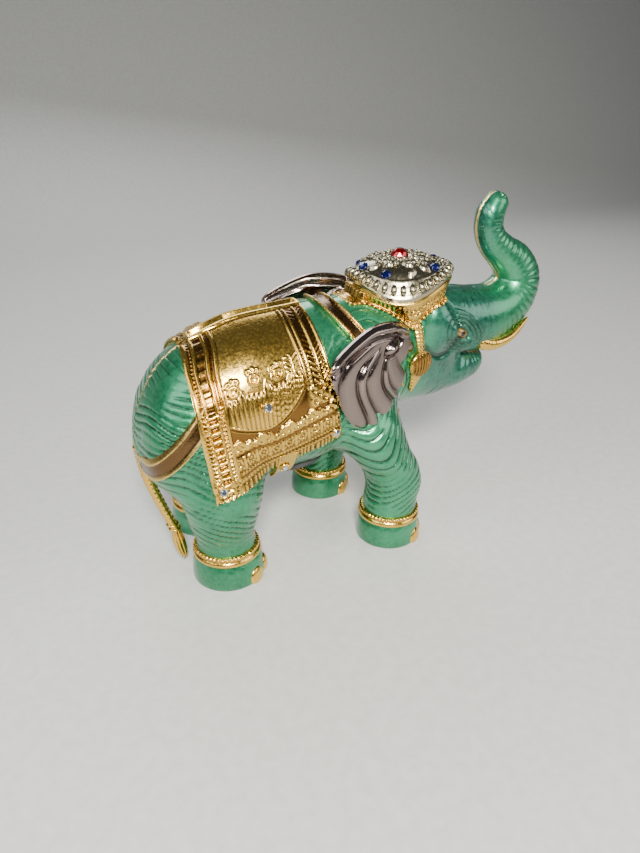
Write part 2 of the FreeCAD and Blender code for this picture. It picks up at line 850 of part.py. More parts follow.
def eye(side):
    ball = solid(
        "Ellipsoid",
        side + "_eye_ball",
        {"Radius1": "Dims.eye_height / 2", "Radius2": "Dims.eye_length / 2", "Radius3": "Dims.eye_depth / 2"},
        "Dims.eye_x",
        "%d * Dims.eye_y" % SIDES[side],
        "Dims.eye_z",
    )
    return cut(side + "_eye", ball, casting)


def tusk(side):
    y = "%d * {}y" % SIDES[side]
    horn = round_loft(side + "_horn", "tusk", len(TUSK_SECTIONS), y, "90 - {}rise")
    return cut(side + "_tusk", horn, casting)


for side in SIDES:
    ear(side)
    eye(side)
    tusk(side)

# ---------------------------------------------------------------- the two castings

bank = cut("bank", casting, fuse("all_spaces", [spaces, spigots("spigot_bores")]))
for side in SIDES:
    common(side + "_shell", bank, halves[side])

# ---------------------------------------------------------------- check and export

SUB_PARTS = [
    "right_shell",
    "left_shell",
    "right_saddle_cloth",
    "left_saddle_cloth",
    "right_crystals",
    "left_crystals",
    "girth_strap",
    "girth_crystals",
    "crupper_strap",
    "neck_strap",
    "throat_bell",
    "headdress_collar",
    "head_medallion",
    "medallion_ruby",
    "medallion_sapphires",
    "right_cheek_pendant",
    "left_cheek_pendant",
    "right_ear",
    "left_ear",
    "right_eye",
    "left_eye",
    "right_tusk",
    "left_tusk",
    "tail",
    "shell_screws",
    "locating_pins",
    "belly_plug",
]
for foot in FEET:
    SUB_PARTS += [foot + "_anklet", foot + "_toenails"]


def check(obj):
    if "Invalid" in obj.State or "Error" in obj.State:
        raise RuntimeError("%s did not compute: %s" % (obj.Name, obj.State))


def export():
    doc.recompute()
    for obj in doc.Objects:
        check(obj)
    os.makedirs("parts", exist_ok=True)
    for name in SUB_PARTS:
        obj = doc.getObject(name)
        if obj.Shape.isNull() or not obj.Shape.isValid() or not obj.Shape.Solids:
            raise RuntimeError(name + " has no valid solid")
        obj.Label = name
        obj.Shape.exportStep(os.path.join("parts", name + ".step"))


export()
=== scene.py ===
"""Elephant still bank: the visual model of the enamelled and gilded casting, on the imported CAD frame."""

import itertools
import math

import bpy
import numpy as np
import openvdb as vdb
from mathutils import Matrix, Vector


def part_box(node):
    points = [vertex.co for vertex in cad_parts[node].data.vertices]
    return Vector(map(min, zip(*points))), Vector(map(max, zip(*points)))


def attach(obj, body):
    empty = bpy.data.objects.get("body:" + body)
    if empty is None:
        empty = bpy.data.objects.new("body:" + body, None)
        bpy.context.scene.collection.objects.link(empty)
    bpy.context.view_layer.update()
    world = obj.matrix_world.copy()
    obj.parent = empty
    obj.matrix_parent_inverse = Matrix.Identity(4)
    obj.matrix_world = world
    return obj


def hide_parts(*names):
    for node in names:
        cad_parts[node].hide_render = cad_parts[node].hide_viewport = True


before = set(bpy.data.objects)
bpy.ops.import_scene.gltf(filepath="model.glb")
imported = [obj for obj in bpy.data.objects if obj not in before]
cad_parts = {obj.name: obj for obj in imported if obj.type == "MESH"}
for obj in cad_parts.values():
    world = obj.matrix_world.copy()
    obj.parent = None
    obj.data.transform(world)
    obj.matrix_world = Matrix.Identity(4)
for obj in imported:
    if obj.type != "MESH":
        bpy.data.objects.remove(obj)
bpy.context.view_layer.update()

MM = 0.001
SIDES = {"right": -1.0, "left": 1.0}


# ---------------------------------------------------------------- small maths


def step(low, high, value):
    t = np.clip((value - low) / (high - low), 0.0, 1.0)
    return t * t * (3.0 - 2.0 * t)


def bump(value, centre, half):
    """One at the centre, nothing beyond the half width, smooth between."""
    t = np.clip(1.0 - ((value - centre) / half) ** 2, 0.0, 1.0)
    return t * t


def ridge(value, centre, half, edge=0.35):
    """A flat-topped band with sloping edges."""
    return 1.0 - step(half - edge, half + edge, np.abs(value - centre))


def through(xs, ys):
    """A smooth curve through the points, with no overshoot."""
    xs = np.asarray(xs, float)
    ys = np.asarray(ys, float)
    width = np.diff(xs)
    slope = np.diff(ys) / width
    turn = np.zeros(len(xs))
    total = slope[:-1] + slope[1:]
    same = slope[:-1] * slope[1:] > 0.0
    turn[1:-1] = np.where(same, 2.0 * slope[:-1] * slope[1:] / np.where(same, total, 1.0), 0.0)
    turn[0] = slope[0]
    turn[-1] = slope[-1]

    def at(x):
        x = np.clip(x, xs[0], xs[-1])
        i = np.clip(np.searchsorted(xs, x, side="right") - 1, 0, len(xs) - 2)
        t = (x - xs[i]) / width[i]
        rise = (t**3 - 2 * t**2 + t) * width[i] * turn[i] + (t**3 - t**2) * width[i] * turn[i + 1]
        return (2 * t**3 - 3 * t**2 + 1) * ys[i] + (3 * t**2 - 2 * t**3) * ys[i + 1] + rise

    return at


def smooth_path(points, count):
    """Points at even spacing on a curve through the given points."""
    points = np.asarray(points, float)
    run = np.concatenate([[0.0], np.cumsum(np.linalg.norm(np.diff(points, axis=0), axis=1))])
    padded = np.vstack([2 * points[0] - points[1], points, 2 * points[-1] - points[-2]])
    fine = []
    for i in range(len(points) - 1):
        a, b, c, d = padded[i : i + 4]
        for t in np.linspace(0, 1, 24, endpoint=False):
            fine.append(
                0.5 * (2 * b + (c - a) * t + (2 * a - 5 * b + 4 * c - d) * t**2 + (3 * b - a - 3 * c + d)
                    * t**3)
            )
    fine.append(points[-1])
    fine = np.array(fine)
    run = np.concatenate([[0.0], np.cumsum(np.linalg.norm(np.diff(fine, axis=0), axis=1))])
    places = np.linspace(0.0, run[-1], count)
    return np.stack([np.interp(places, run, fine[:, k]) for k in range(fine.shape[1])], axis=1)


def between(table, cell, t):
    """Values of a 3-D table between its corners; the table repeats past its ends."""
    total = 0.0
    for corner in itertools.product((0, 1), repeat=3):
        weight = 1.0
        for axis in range(3):
            weight = weight * (t[..., axis] if corner[axis] else 1 - t[..., axis])
        place = tuple((cell[..., axis] + corner[axis]) % table.shape[axis] for axis in range(3))
        total = total + weight * table[place]
    return total


LATTICE = np.random.RandomState(11).uniform(-1.0, 1.0, (48, 48, 48))


def noise(points, size):
    """Smooth noise from -1 to 1 whose features are about the given size in millimetres."""
    q = np.asarray(points) / size + 100.0
    cell = np.floor(q).astype(int)
    t = q - cell
    return between(LATTICE, cell, t * t * (3.0 - 2.0 * t))


# ---------------------------------------------------------------- distance fields


def smin(a, b, k):
    h = np.clip(0.5 + 0.5 * (b - a) / k, 0.0, 1.0)
    return b + (a - b) * h - k * h * (1.0 - h)


def smax(a, b, k):
    return -smin(-a, -b, k)


class Field:
    """Distances in millimetres on a grid, negative inside."""

    def __init__(self, low, high, pitch):
        self.low = np.array(low, float)
        self.pitch = pitch
        self.axes = [np.arange(a, b + pitch, pitch) for a, b in zip(low, high)]
        self.values = np.full([len(a) for a in self.axes], 30.0, np.float32)

    def region(self, low, high):
        spans = []
        for axis, a, b in zip(self.axes, low, high):
            spans.append(slice(int(np.searchsorted(axis, a)), int(np.searchsorted(axis, b))))
        x, y, z = (axis[span].astype(np.float32) for axis, span in zip(self.axes, spans))
        return tuple(spans), x[:, None, None], y[None, :, None], z[None, None, :]

    def everywhere(self):
        return self.region([a[0] for a in self.axes], [a[-1] + 1 for a in self.axes])[1:]

    def blend(self, shape, k, low, high, carve=False):
        spans, x, y, z = self.region(low, high)
        d = shape(x, y, z)
        if carve:
            self.values[spans] = smax(self.values[spans], -d, k)
        else:
            self.values[spans] = smin(self.values[spans], d, k)

    def ellipsoid(self, centre, radii, k, tilt=0.0):
        """An ellipsoid turned in the XZ plane by tilt, degrees."""
        reach = max(radii) + k + 5.0
        ct, st = math.cos(math.radians(tilt)), math.sin(math.radians(tilt))

        def shape(x, y, z):
            x, y, z = x - centre[0], y - centre[1], z - centre[2]
            x, z = x * ct + z * st, z * ct - x * st
            near = np.sqrt((x / radii[0]) ** 2 + (y / radii[1]) ** 2 + (z / radii[2]) ** 2) + 1e-6
            far = np.sqrt((x / radii[0] ** 2) ** 2 + (y / radii[1] ** 2) ** 2
                + (z / radii[2] ** 2) ** 2) + 1e-6
            return near * (near - 1.0) / far

        self.blend(shape, k, [c - reach for c in centre], [c + reach for c in centre])

    def tube(self, path, radii, k, carve=False):
        """Spheres along a path, close enough together to be a tube."""
        reach = max(radii) + k + 4.0

        def shape(x, y, z):
            d = np.full(np.broadcast_shapes(x.shape, y.shape, z.shape), 30.0, np.float32)
            for p, r in zip(path.astype(np.float32), radii):
                ball = np.sqrt((x - p[0]) ** 2 + (y - p[1]) ** 2 + (z - p[2]) ** 2) - np.float32(r)
                np.minimum(d, ball, out=d)
            return d

        self.blend(shape, k, np.min(path, axis=0) - reach, np.max(path, axis=0) + reach, carve)

    def at(self, points):
        q = (np.asarray(points) - self.low) / self.pitch
        q = np.clip(q, 0.0, np.array(self.values.shape) - 1.001)
        cell = q.astype(int)
        return between(self.values, cell, q - cell)

    def normal(self, points, reach=0.5):
        parts = []
        for axis in range(3):
            shift = np.zeros(3)
            shift[axis] = reach
            parts.append(self.at(points + shift) - self.at(points - shift))
        n = np.stack(parts, axis=-1)
        return n / np.maximum(np.linalg.norm(n, axis=-1, keepdims=True), 1e-9)


def skin_of(values, low, pitch):
    """Quads of the surface where a field of distances is nothing."""
    grid = vdb.FloatGrid(5.0)
    grid.copyFromArray(np.ascontiguousarray(np.clip(values, -5.0, 5.0), dtype=np.float32))
    points, quads = grid.convertToQuads(isovalue=0.0)
    points = points.astype(float) * pitch + np.asarray(low, float)
    return points, quads[:, ::-1]


# ---------------------------------------------------------------- the elephant

# Barrel and neck: place along X, height of the middle, half height, half width.
BARREL = [
    (-61.6, 35.6, 0.5, 0.5),
    (-61.0, 35.8, 5.0, 4.5),
    (-59.6, 36.4, 9.4, 8.6),
    (-57.0, 37.8, 13.6, 12.4),
    (-52.0, 40.0, 17.8, 16.4),
    (-44.0, 42.4, 20.2, 18.6),
    (-32.0, 44.3, 21.9, 19.8),
    (-18.0, 45.3, 22.0, 19.6),
    (-6.0, 47.6, 20.0, 17.0),
    (4.0, 50.6, 17.8, 14.4),
    (14.0, 52.4, 16.6, 12.6),
    (20.0, 52.6, 13.5, 10.0),
    (24.0, 52.6, 5.0, 4.0),
]

# Legs: height, forward of the foot, outward of the foot, radius.
FRONT_LEG = [
    (-4.0, 0.0, 0.0, 8.9),
    (1.5, 0.0, 0.0, 9.0),
    (5.0, 0.0, 0.0, 8.7),
    (8.5, 0.1, 0.0, 7.7),
    (12.0, 0.4, 0.0, 7.6),
    (17.0, 1.2, -0.1, 8.0),
    (22.0, 0.2, -0.6, 8.2),
    (28.0, -3.4, -1.4, 8.8),
    (36.0, -6.4, -3.4, 9.6),
    (44.0, -8.0, -7.0, 8.0),
]
REAR_LEG = [
    (-4.0, 0.0, 0.0, 9.5),
    (1.5, 0.0, 0.0, 9.6),
    (4.5, -0.1, 0.0, 9.2),
    (8.5, -0.2, 0.0, 7.9),
    (12.0, -0.4, 0.0, 7.7),
    (16.0, -0.6, 0.0, 8.6),
    (21.0, -0.4, -0.1, 9.9),
    (28.0, 0.0, -1.0, 10.8),
    (36.0, 0.4, -3.4, 10.8),
    (44.0, 0.6, -6.6, 8.4),
]
FEET = {
    "right_front": (4.6, -15.5, FRONT_LEG),
    "left_front": (-3.2, 15.8, FRONT_LEG),
    "right_rear": (-42.9, -12.7, REAR_LEG),
    "left_rear": (-42.6, 13.0, REAR_LEG),
}

TRUNK = [
    (30.0, 57.0, 10.0),
    (37.0, 56.2, 9.8),
    (44.6, 57.0, 8.9),
    (50.8, 60.4, 7.9),
    (53.7, 66.0, 6.9),
    (51.5, 71.2, 6.0),
    (47.3, 74.6, 4.9),
    (43.6, 77.8, 4.4),
    (41.6, 81.4, 4.1),
    (41.6, 85.2, 4.0),
    (43.0, 88.0, 3.5),
]

# Eye: place in the side view, and the cosine and sine of its slant.
EYE_X, EYE_Z, EYE_COS, EYE_SIN = 28.3, 56.1, 0.852, 0.523

# Slot, and the stopper's hole and recess: half sizes, radii and upper ends.
SLOT_X, SLOT_HALF, SLOT_SIDE = -31.0, 13.5, 1.3
HOLE_RADIUS, HOLE_TOP = 11.0, 36.0
RECESS_RADIUS, RECESS_TOP = 12.7, 27.0
ROOM_CENTRE, ROOM_RADII = (-20.0, 0.0, 45.0), (20.0, 13.5, 15.5)

# Cheek pendant's disc and the bell, in the side view; the left ear sits higher than the right.
PENDANT_X, PENDANT_Z, PENDANT_RADIUS = 13.5, 50.5, 3.75
BELL_X = 14.6
LEFT_EAR_RISE = 4.5

# Degrees the camera looks down and is turned to the right of +Y.
CAMERA_PITCH, CAMERA_TURN = 27.3, 24.5

PITCH = 0.45
body = Field((-65.0, -27.0, -5.0), (64.0, 27.0, 96.0), PITCH)


def barrel(x, y, z):
    table = np.array(BARREL)
    middle = through(table[:, 0], table[:, 1])(x)
    tall = np.sqrt(np.maximum(through(table[:, 0], table[:, 2] ** 2)(x), 0.05))
    wide = np.sqrt(np.maximum(through(table[:, 0], table[:, 3] ** 2)(x), 0.05))
    away = np.sqrt(((z - middle) / tall) ** 2 + (y / wide) ** 2) - 1.0
    d = (away * np.minimum(tall, wide)).astype(np.float32)
    ends = np.maximum(table[0, 0] - x, x - table[-1, 0])
    return np.maximum(d, ends).astype(np.float32)


def leg_shape(name):
    forward, outward, rows = FEET[name]
    rows = np.array(rows)
    side = 1.0 if outward > 0 else -1.0

    def shape(x, y, z):
        height = np.clip(z, rows[0, 0], rows[-1, 0])
        cx = through(rows[:, 0], rows[:, 1])(height) + forward
        cy = through(rows[:, 0], rows[:, 2])(height) * side + outward
        r = through(rows[:, 0], rows[:, 3])(height)
        return (np.sqrt((x - cx) ** 2 + (y - cy) ** 2 + (z - height) ** 2) - r).astype(np.float32)

    return shape


trunk_path = smooth_path([(x, 0.0, z) for x, z, r in TRUNK], 120)
trunk_run = np.concatenate([[0.0], np.cumsum(np.linalg.norm(np.diff(trunk_path, axis=0), axis=1))])
knot_run = np.concatenate(
    [[0.0], np.cumsum([math.dist(a[:2], b[:2]) for a, b in zip(TRUNK[:-1], TRUNK[1:])])]
)
trunk_radii = through(knot_run / knot_run[-1] * trunk_run[-1], [r for x, z, r in TRUNK])(trunk_run)

body.blend(barrel, 0.01, (-65, -27, -5), (64, 27, 96))
for name, (forward, outward, rows) in FEET.items():
    body.blend(leg_shape(name), 4.0, (forward - 24, outward - 20, -5), (forward + 20, outward + 20, 60))
for side in (-1.0, 1.0):
    # hip, thigh, shoulder
    body.ellipsoid((-46.0, 8.5 * side, 38.0), (13.5, 9.5, 15.5), 4.0, tilt=-6.0)
    body.ellipsoid((-3.5, 8.0 * side, 40.0), (10.5, 8.8, 14.0), 4.0, tilt=8.0)
# cranium, temples, cheeks, lower jaw
body.ellipsoid((18.5, 0.0, 57.0), (13.5, 12.0, 12.4), 3.0)
body.ellipsoid((20.5, 0.0, 46.6), (13.0, 10.0, 12.0), 4.0)
for side in (-1.0, 1.0):
    body.ellipsoid((20.0, 9.0 * side, 59.6), (5.8, 5.2, 7.8), 0.9, tilt=14.0)
    body.ellipsoid((27.5, 4.8 * side, 55.4), (6.5, 5.8, 6.2), 2.0)
body.tube(trunk_path, trunk_radii, 2.6)
body.ellipsoid((28.0, 0.0, 42.2), (14.6, 8.0, 6.6), 1.6, tilt=5.0)
body.ellipsoid((37.5, 0.0, 42.4), (6.2, 5.4, 3.9), 1.8, tilt=28.0)
# mouth and nostrils
mouth = smooth_path([(32.5, 0.0, 48.0), (36.0, 0.0, 47.7), (42.0, 0.0, 47.2)], 30)
for off in np.linspace(-11.0, 11.0, 23):
    body.tube(mouth + np.array([0.0, off, 0.0]), np.linspace(0.35, 0.9, 30), 0.8, carve=True)
for side in (-1.0, 1.0):
    nostril = smooth_path([(43.2, 1.35 * side, 88.0), (44.0, 1.5 * side, 91.0), (46.0, 1.6 * side, 94.0)], 12)
    body.tube(nostril, np.full(12, 0.95), 0.4, carve=True)
floor_up = body.everywhere()[2]
body.values = np.maximum(body.values, -floor_up)
outer = body.values.copy()


# ---------------------------------------------------------------- making objects


def mesh_object(name, points, faces, smooth=True):
    mesh = bpy.data.meshes.new(name)
    mesh.from_pydata((np.asarray(points) * MM).tolist(), [],
        faces if isinstance(faces, list) else faces.tolist())
    mesh.update()
    if smooth:
        mesh.polygons.foreach_set("use_smooth", [True] * len(mesh.polygons))
    thing = bpy.data.objects.new(name, mesh)
    bpy.context.scene.collection.objects.link(thing)
    return thing


def attribute(thing, name, values):
    layer = thing.data.attributes.new(name, "FLOAT", "POINT")
    layer.data.foreach_set("value", np.asarray(values, np.float32))


class Shape:
    """Points and faces gathered into one mesh."""

    def __init__(self):
        self.points = []
        self.faces = []
        self.count = 0

    def add(self, points, faces):
        points = np.asarray(points, float)
        self.points.append(points)
        for face in faces:
            self.faces.append([int(i) + self.count for i in face])
        self.count += len(points)

    def grid(self, points, wrap_v=False, flip=False):
        """Faces over a rectangle of points."""
        nu, nv = points.shape[:2]
        index = np.arange(nu * nv).reshape(nu, nv)
        if wrap_v:
            index = np.hstack([index, index[:, :1]])
        a, b, c, d = index[:-1, :-1], index[1:, :-1], index[1:, 1:], index[:-1, 1:]
        quads = np.stack([a, b, c, d] if not flip else [d, c, b, a], axis=-1).reshape(-1, 4)
        self.add(points.reshape(-1, 3), quads)

    def slab(self, top, bottom, flip=False):
        """A closed sheet between two rectangles of points."""
        nu, nv = top.shape[:2]
        index = np.arange(nu * nv).reshape(nu, nv)
        low = index + nu * nv
        quads = []
        a, b, c, d = index[:-1, :-1], index[1:, :-1], index[1:, 1:], index[:-1, 1:]
        quads.append(np.stack([a, b, c, d], axis=-1).reshape(-1, 4))
        a, b, c, d = low[:-1, :-1], low[:-1, 1:], low[1:, 1:], low[1:, :-1]
        quads.append(np.stack([a, b, c, d], axis=-1).reshape(-1, 4))
        for line, under in (
            (index[:, 0][::-1], low[:, 0][::-1]),
            (index[-1, :][::-1], low[-1, :][::-1]),
            (index[:, -1], low[:, -1]),
            (index[0, :], low[0, :]),
        ):
            quads.append(np.stack([line[:-1], under[:-1], under[1:], line[1:]], axis=-1))
        quads = np.concatenate(quads)
        if flip:
            quads = quads[:, ::-1]
        self.add(np.concatenate([top.reshape(-1, 3), bottom.reshape(-1, 3)]), quads)

    def closed_rings(self, points, count, turns):
        """Faces over rings of points, closed at the ends by the last two points."""
        faces = []
        for i in range(count - 1):
            for j in range(turns):
                k = (j + 1) % turns
                faces.append([i * turns + j, i * turns + k, (i + 1) * turns + k, (i + 1) * turns + j])
        for j in range(turns):
            k = (j + 1) % turns
            faces.append([count * turns, k, j])
            faces.append([count * turns + 1, (count - 1) * turns + j, (count - 1) * turns + k])
        self.add(points, faces)

    def ball(self, centre, radii, frame_axes=None, rings=8, turns=12):
        """A bead of rings stacked along the third of its axes."""
        heights = -np.cos(np.linspace(0.0, math.pi, rings + 1))[1:-1, None]
        around = np.linspace(0.0, 2 * math.pi, turns, endpoint=False)[None, :]
        wide = np.sqrt(1 - heights**2)
        tall = np.repeat(heights, turns, axis=1)
        local = np.stack([wide * np.cos(around), wide * np.sin(around), tall], axis=-1)
        axes = np.eye(3) if frame_axes is None else np.asarray(frame_axes)
        radii = np.asarray(radii, float) * np.ones(3)
        points = np.concatenate([local.reshape(-1, 3), [[0, 0, -1], [0, 0, 1]]])
        self.closed_rings(np.asarray(centre) + (points * radii) @ axes, len(heights), turns)

    def rod(self, path, radii, turns=12, flat=1.0, up=(0.0, 0.0, 1.0)):
        """A round-ended bar along a path; flat squeezes it along up."""
        path = np.asarray(path, float)
        radii = np.asarray(radii, float) * np.ones(len(path))
        ahead = np.gradient(path, axis=0)
        ahead /= np.linalg.norm(ahead, axis=1, keepdims=True)
        side = np.cross(ahead, np.asarray(up, float) * np.ones((len(path), 3)))
        side /= np.maximum(np.linalg.norm(side, axis=1, keepdims=True), 1e-9)
        over = np.cross(side, ahead)
        around = np.linspace(0.0, 2 * math.pi, turns, endpoint=False)
        ring = (
            path[:, None, :]
            + radii[:, None, None] * np.cos(around)[None, :, None] * side[:, None, :]
            + flat * radii[:, None, None] * np.sin(around)[None, :, None] * over[:, None, :]
        )
        start = path[:1] - ahead[:1] * radii[0] * 0.5
        end = path[-1:] + ahead[-1:] * radii[-1] * 0.5
        self.closed_rings(np.concatenate([ring.reshape(-1, 3), start, end]), len(path), turns)

    def make(self, name, smooth=True):
        return mesh_object(name, np.concatenate(self.points), self.faces, smooth)


def piece(thing, material, slot, *nodes, rides="bank"):
    thing.data.materials.append(material)
    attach(thing, rides)
    if nodes:
        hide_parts(*nodes)
    return thing


# ---------------------------------------------------------------- materials


def new_material(name):
    made = bpy.data.materials.new(name)
    made.use_nodes = True
    tree = made.node_tree
    return made, tree, tree.nodes["Principled BSDF"]


def add(tree, kind, values=None, **settings):
    made = tree.nodes.new(kind)
    for key, value in settings.items():
        setattr(made, key, value)
    for key, value in (values or {}).items():
        made.inputs[key].default_value = value
    return made


def coordinates(tree):
    return add(tree, "ShaderNodeTexCoord").outputs["Object"]


def noise_map(tree, vector, scale, detail):
    made = add(tree, "ShaderNodeTexNoise", {"Scale": scale, "Detail": detail, "Roughness": 0.55})
    tree.links.new(vector, made.inputs["Vector"])
    return made.outputs["Fac"]


def ramp(tree, value, stops):
    made = add(tree, "ShaderNodeValToRGB")
    band = made.color_ramp
    while len(band.elements) < len(stops):
        band.elements.new(0.5)
    for element, (place, colour) in zip(band.elements, stops):
        element.position = place
        element.color = (*colour, 1.0)
    tree.links.new(value, made.inputs["Fac"])
    return made.outputs["Color"]


def scaled(tree, value, low, high, to_low, to_high):
    made = add(
        tree,
        "ShaderNodeMapRange",
        {"From Min": low, "From Max": high, "To Min": to_low, "To Max": to_high},
    )
    tree.links.new(value, made.inputs["Value"])
    return made.outputs["Result"]


def mixed(tree, factor, first, second):
    made = add(tree, "ShaderNodeMix", data_type="RGBA")
    for socket, value in ((made.inputs[0], factor), (made.inputs[6], first), (made.inputs[7], second)):
        if isinstance(value, (tuple, float)):
            socket.default_value = (*value, 1.0) if isinstance(value, tuple) else value
        else:
            tree.links.new(value, socket)
    return made.outputs[2]


def bumped(tree, height, strength, distance, under=None):
    made = add(tree, "ShaderNodeBump", {"Strength": strength, "Distance": distance})
    tree.links.new(height, made.inputs["Height"])
    if under is not None:
        tree.links.new(under, made.inputs["Normal"])
    return made.outputs["Normal"]


def drive(tree, shader, **sockets):
    for name, value in sockets.items():
        tree.links.new(value, shader.inputs[name.replace("_", " ")])


def constants(shader, **values):
    for name, value in values.items():
        shader.inputs[name.replace("_", " ")].default_value = value


def read(tree, name):
    made = add(tree, "ShaderNodeAttribute", attribute_name=name)
    return made.outputs["Fac"]


def enamel_material():
    """Green pearl enamel fired over a bright casting, with gilding where the casting is bare."""
    made, tree, shader = new_material("green_pearl_enamel")
    where = coordinates(tree)
    cloud = noise_map(tree, where, 55.0, 3.0)
    grain = noise_map(tree, where, 900.0, 3.0)
    pearl = noise_map(tree, where, 5200.0, 2.0)
    carve = read(tree, "carve")
    gild = read(tree, "gild")
    face = read(tree, "face")
    green = ramp(tree, cloud, [(0.3, (0.008, 0.14, 0.055)), (0.5, (0.022, 0.24, 0.105)),
        (0.72, (0.055, 0.35, 0.165))])
    teal = ramp(tree, cloud, [(0.3, (0.005, 0.07, 0.045)), (0.55, (0.013, 0.13, 0.092)),
        (0.75, (0.035, 0.23, 0.165))])
    green = mixed(tree, face, green, teal)
    speckle = mixed(tree, scaled(tree, grain, 0.35, 0.65, 0.0, 0.30), green, (0.07, 0.38, 0.19))
    # Grooves darken to near-black green: enamel pooled thicker in them, deepened as painted shade.
    deep = mixed(tree, scaled(tree, carve, 0.10, 0.85, 0.0, 0.92), speckle, (0.002, 0.030, 0.014))
    gold = mixed(tree, scaled(tree, grain, 0.3, 0.7, 0.0, 1.0), (0.80, 0.50, 0.13), (0.95, 0.70, 0.27))
    colour = mixed(tree, gild, deep, gold)
    rough = scaled(tree, grain, 0.3, 0.7, 0.26, 0.40)
    fine = bumped(tree, pearl, 0.10, 0.00006)
    normal = bumped(tree, grain, 0.14, 0.00025, fine)
    drive(tree, shader, Base_Color=colour, Roughness=rough, Normal=normal)
    constants(shader, Metallic=0.72, Coat_Weight=0.7, Coat_Roughness=0.12, Specular_IOR_Level=0.6)
    return made


def gilt_material(name, light, dark, low, high, glint_strength=0.5, deep=(0.17, 0.07, 0.012)):
    """Gold plate with painted glints as pale flecks, and warm dark painted shade in the hollows."""
    made, tree, shader = new_material(name)
    where = coordinates(tree)
    cloud = noise_map(tree, where, 90.0, 4.0)
    grain = noise_map(tree, where, 1500.0, 3.0)
    # Pale flecks at scattered points: painted glints.
    glint_cells = add(tree, "ShaderNodeTexVoronoi", {"Scale": 900.0})
    tree.links.new(where, glint_cells.inputs["Vector"])
    carve = read(tree, "carve")
    plate = mixed(tree, cloud, light, dark)
    spots = scaled(tree, glint_cells.outputs["Distance"], 0.05, 0.22, 1.0, 0.0)
    painted_glints = add(tree, "ShaderNodeMath", operation="MULTIPLY")
    tree.links.new(spots, painted_glints.inputs[0])
    tree.links.new(scaled(tree, grain, 0.45, 0.62, 0.0, glint_strength), painted_glints.inputs[1])
    plate = mixed(tree, painted_glints.outputs[0], plate, (0.95, 0.86, 0.58))
    # The carve attribute darkens the plate to the deep colour: painted shade in the hollows.
    plate = mixed(tree, scaled(tree, carve, 0.1, 1.0, 0.0, 0.93), plate, deep)
    rough = scaled(tree, grain, 0.3, 0.7, low, high)
    normal = bumped(tree, grain, 0.16, 0.00022)
    drive(tree, shader, Base_Color=plate, Roughness=rough, Normal=normal)
    constants(shader, Metallic=1.0, Coat_Weight=0.25, Coat_Roughness=0.1)
    return made


def stone_material(name, colour, deep, metallic=0.35):
    """Foiled glass; where the carve attribute is set, as in a pupil, it is nearly black."""
    made, tree, shader = new_material(name)
    where = coordinates(tree)
    cloud = noise_map(tree, where, 700.0, 3.0)
    grain = noise_map(tree, where, 2600.0, 2.0)
    body_colour = mixed(tree, scaled(tree, cloud, 0.3, 0.7, 0.0, 1.0), colour, deep)
    drive(
        tree,
        shader,
        Base_Color=mixed(tree, read(tree, "carve"), body_colour, (0.006, 0.004, 0.003)),
        Roughness=scaled(tree, grain, 0.3, 0.7, 0.03, 0.10),
        Normal=bumped(tree, grain, 0.05, 0.00004),
    )
    constants(shader, Metallic=metallic, Coat_Weight=0.6, Coat_Roughness=0.02, IOR=1.7)
    return made


def plain_material(name, light, dark, metallic, low, high, scale=800.0, depth=0.0002):
    made, tree, shader = new_material(name)
    where = coordinates(tree)
    cloud = noise_map(tree, where, scale * 0.12, 4.0)
    grain = noise_map(tree, where, scale, 4.0)
    colour = mixed(tree, scaled(tree, cloud, 0.3, 0.7, 0.0, 1.0), light, dark)
    drive(
        tree,
        shader,
        Base_Color=colour,
        Roughness=scaled(tree, grain, 0.3, 0.7, low, high),
        Normal=bumped(tree, grain, 0.3, depth),
    )
    constants(shader, Metallic=metallic)
    return made


ENAMEL = enamel_material()
GILT = gilt_material("polished_gilt", (0.93, 0.62, 0.13), (0.72, 0.42, 0.06), 0.15, 0.30)
# Gilt for the straps, whose darker deep colour gives deeper painted shade in their hollows.
SHADED_GILT = gilt_material("gilt_deep_painted_shade", (0.90, 0.64, 0.20), (0.66, 0.42, 0.10), 0.20, 0.34, 0.5,
    (0.10, 0.045, 0.018))
PEWTER = gilt_material("warm_pewter", (0.47, 0.42, 0.28), (0.33, 0.29, 0.19), 0.18, 0.30, 0.25,
    (0.17, 0.155, 0.105))
# The ears' pewter, made darker and browner than the cap's: the darkness is painted shade.
EAR_PEWTER_SHADED = gilt_material("ear_pewter_painted_shade", (0.40, 0.33, 0.28), (0.27, 0.20, 0.19), 0.12, 0.22, 0.15,
    (0.05, 0.03, 0.03))
RUBY = stone_material("ruby_stone", (0.50, 0.001, 0.004), (0.16, 0.0, 0.002), 0.8)
SAPPHIRE = stone_material("sapphire_stone", (0.004, 0.012, 0.17), (0.001, 0.003, 0.05), 0.6)
CRYSTAL = stone_material("clear_stone", (0.74, 0.80, 0.88), (0.36, 0.42, 0.50), 0.95)
AMBER = stone_material("amber_eye", (0.36, 0.20, 0.04), (0.14, 0.07, 0.012))
STEEL = plain_material("screw_steel", (0.52, 0.52, 0.53), (0.40, 0.40, 0.42), 1.0, 0.25, 0.45)
RUBBER = plain_material("black_rubber", (0.030, 0.030, 0.032), (0.045, 0.044, 0.043), 0.0, 0.55, 0.75)


# ---------------------------------------------------------------- castings


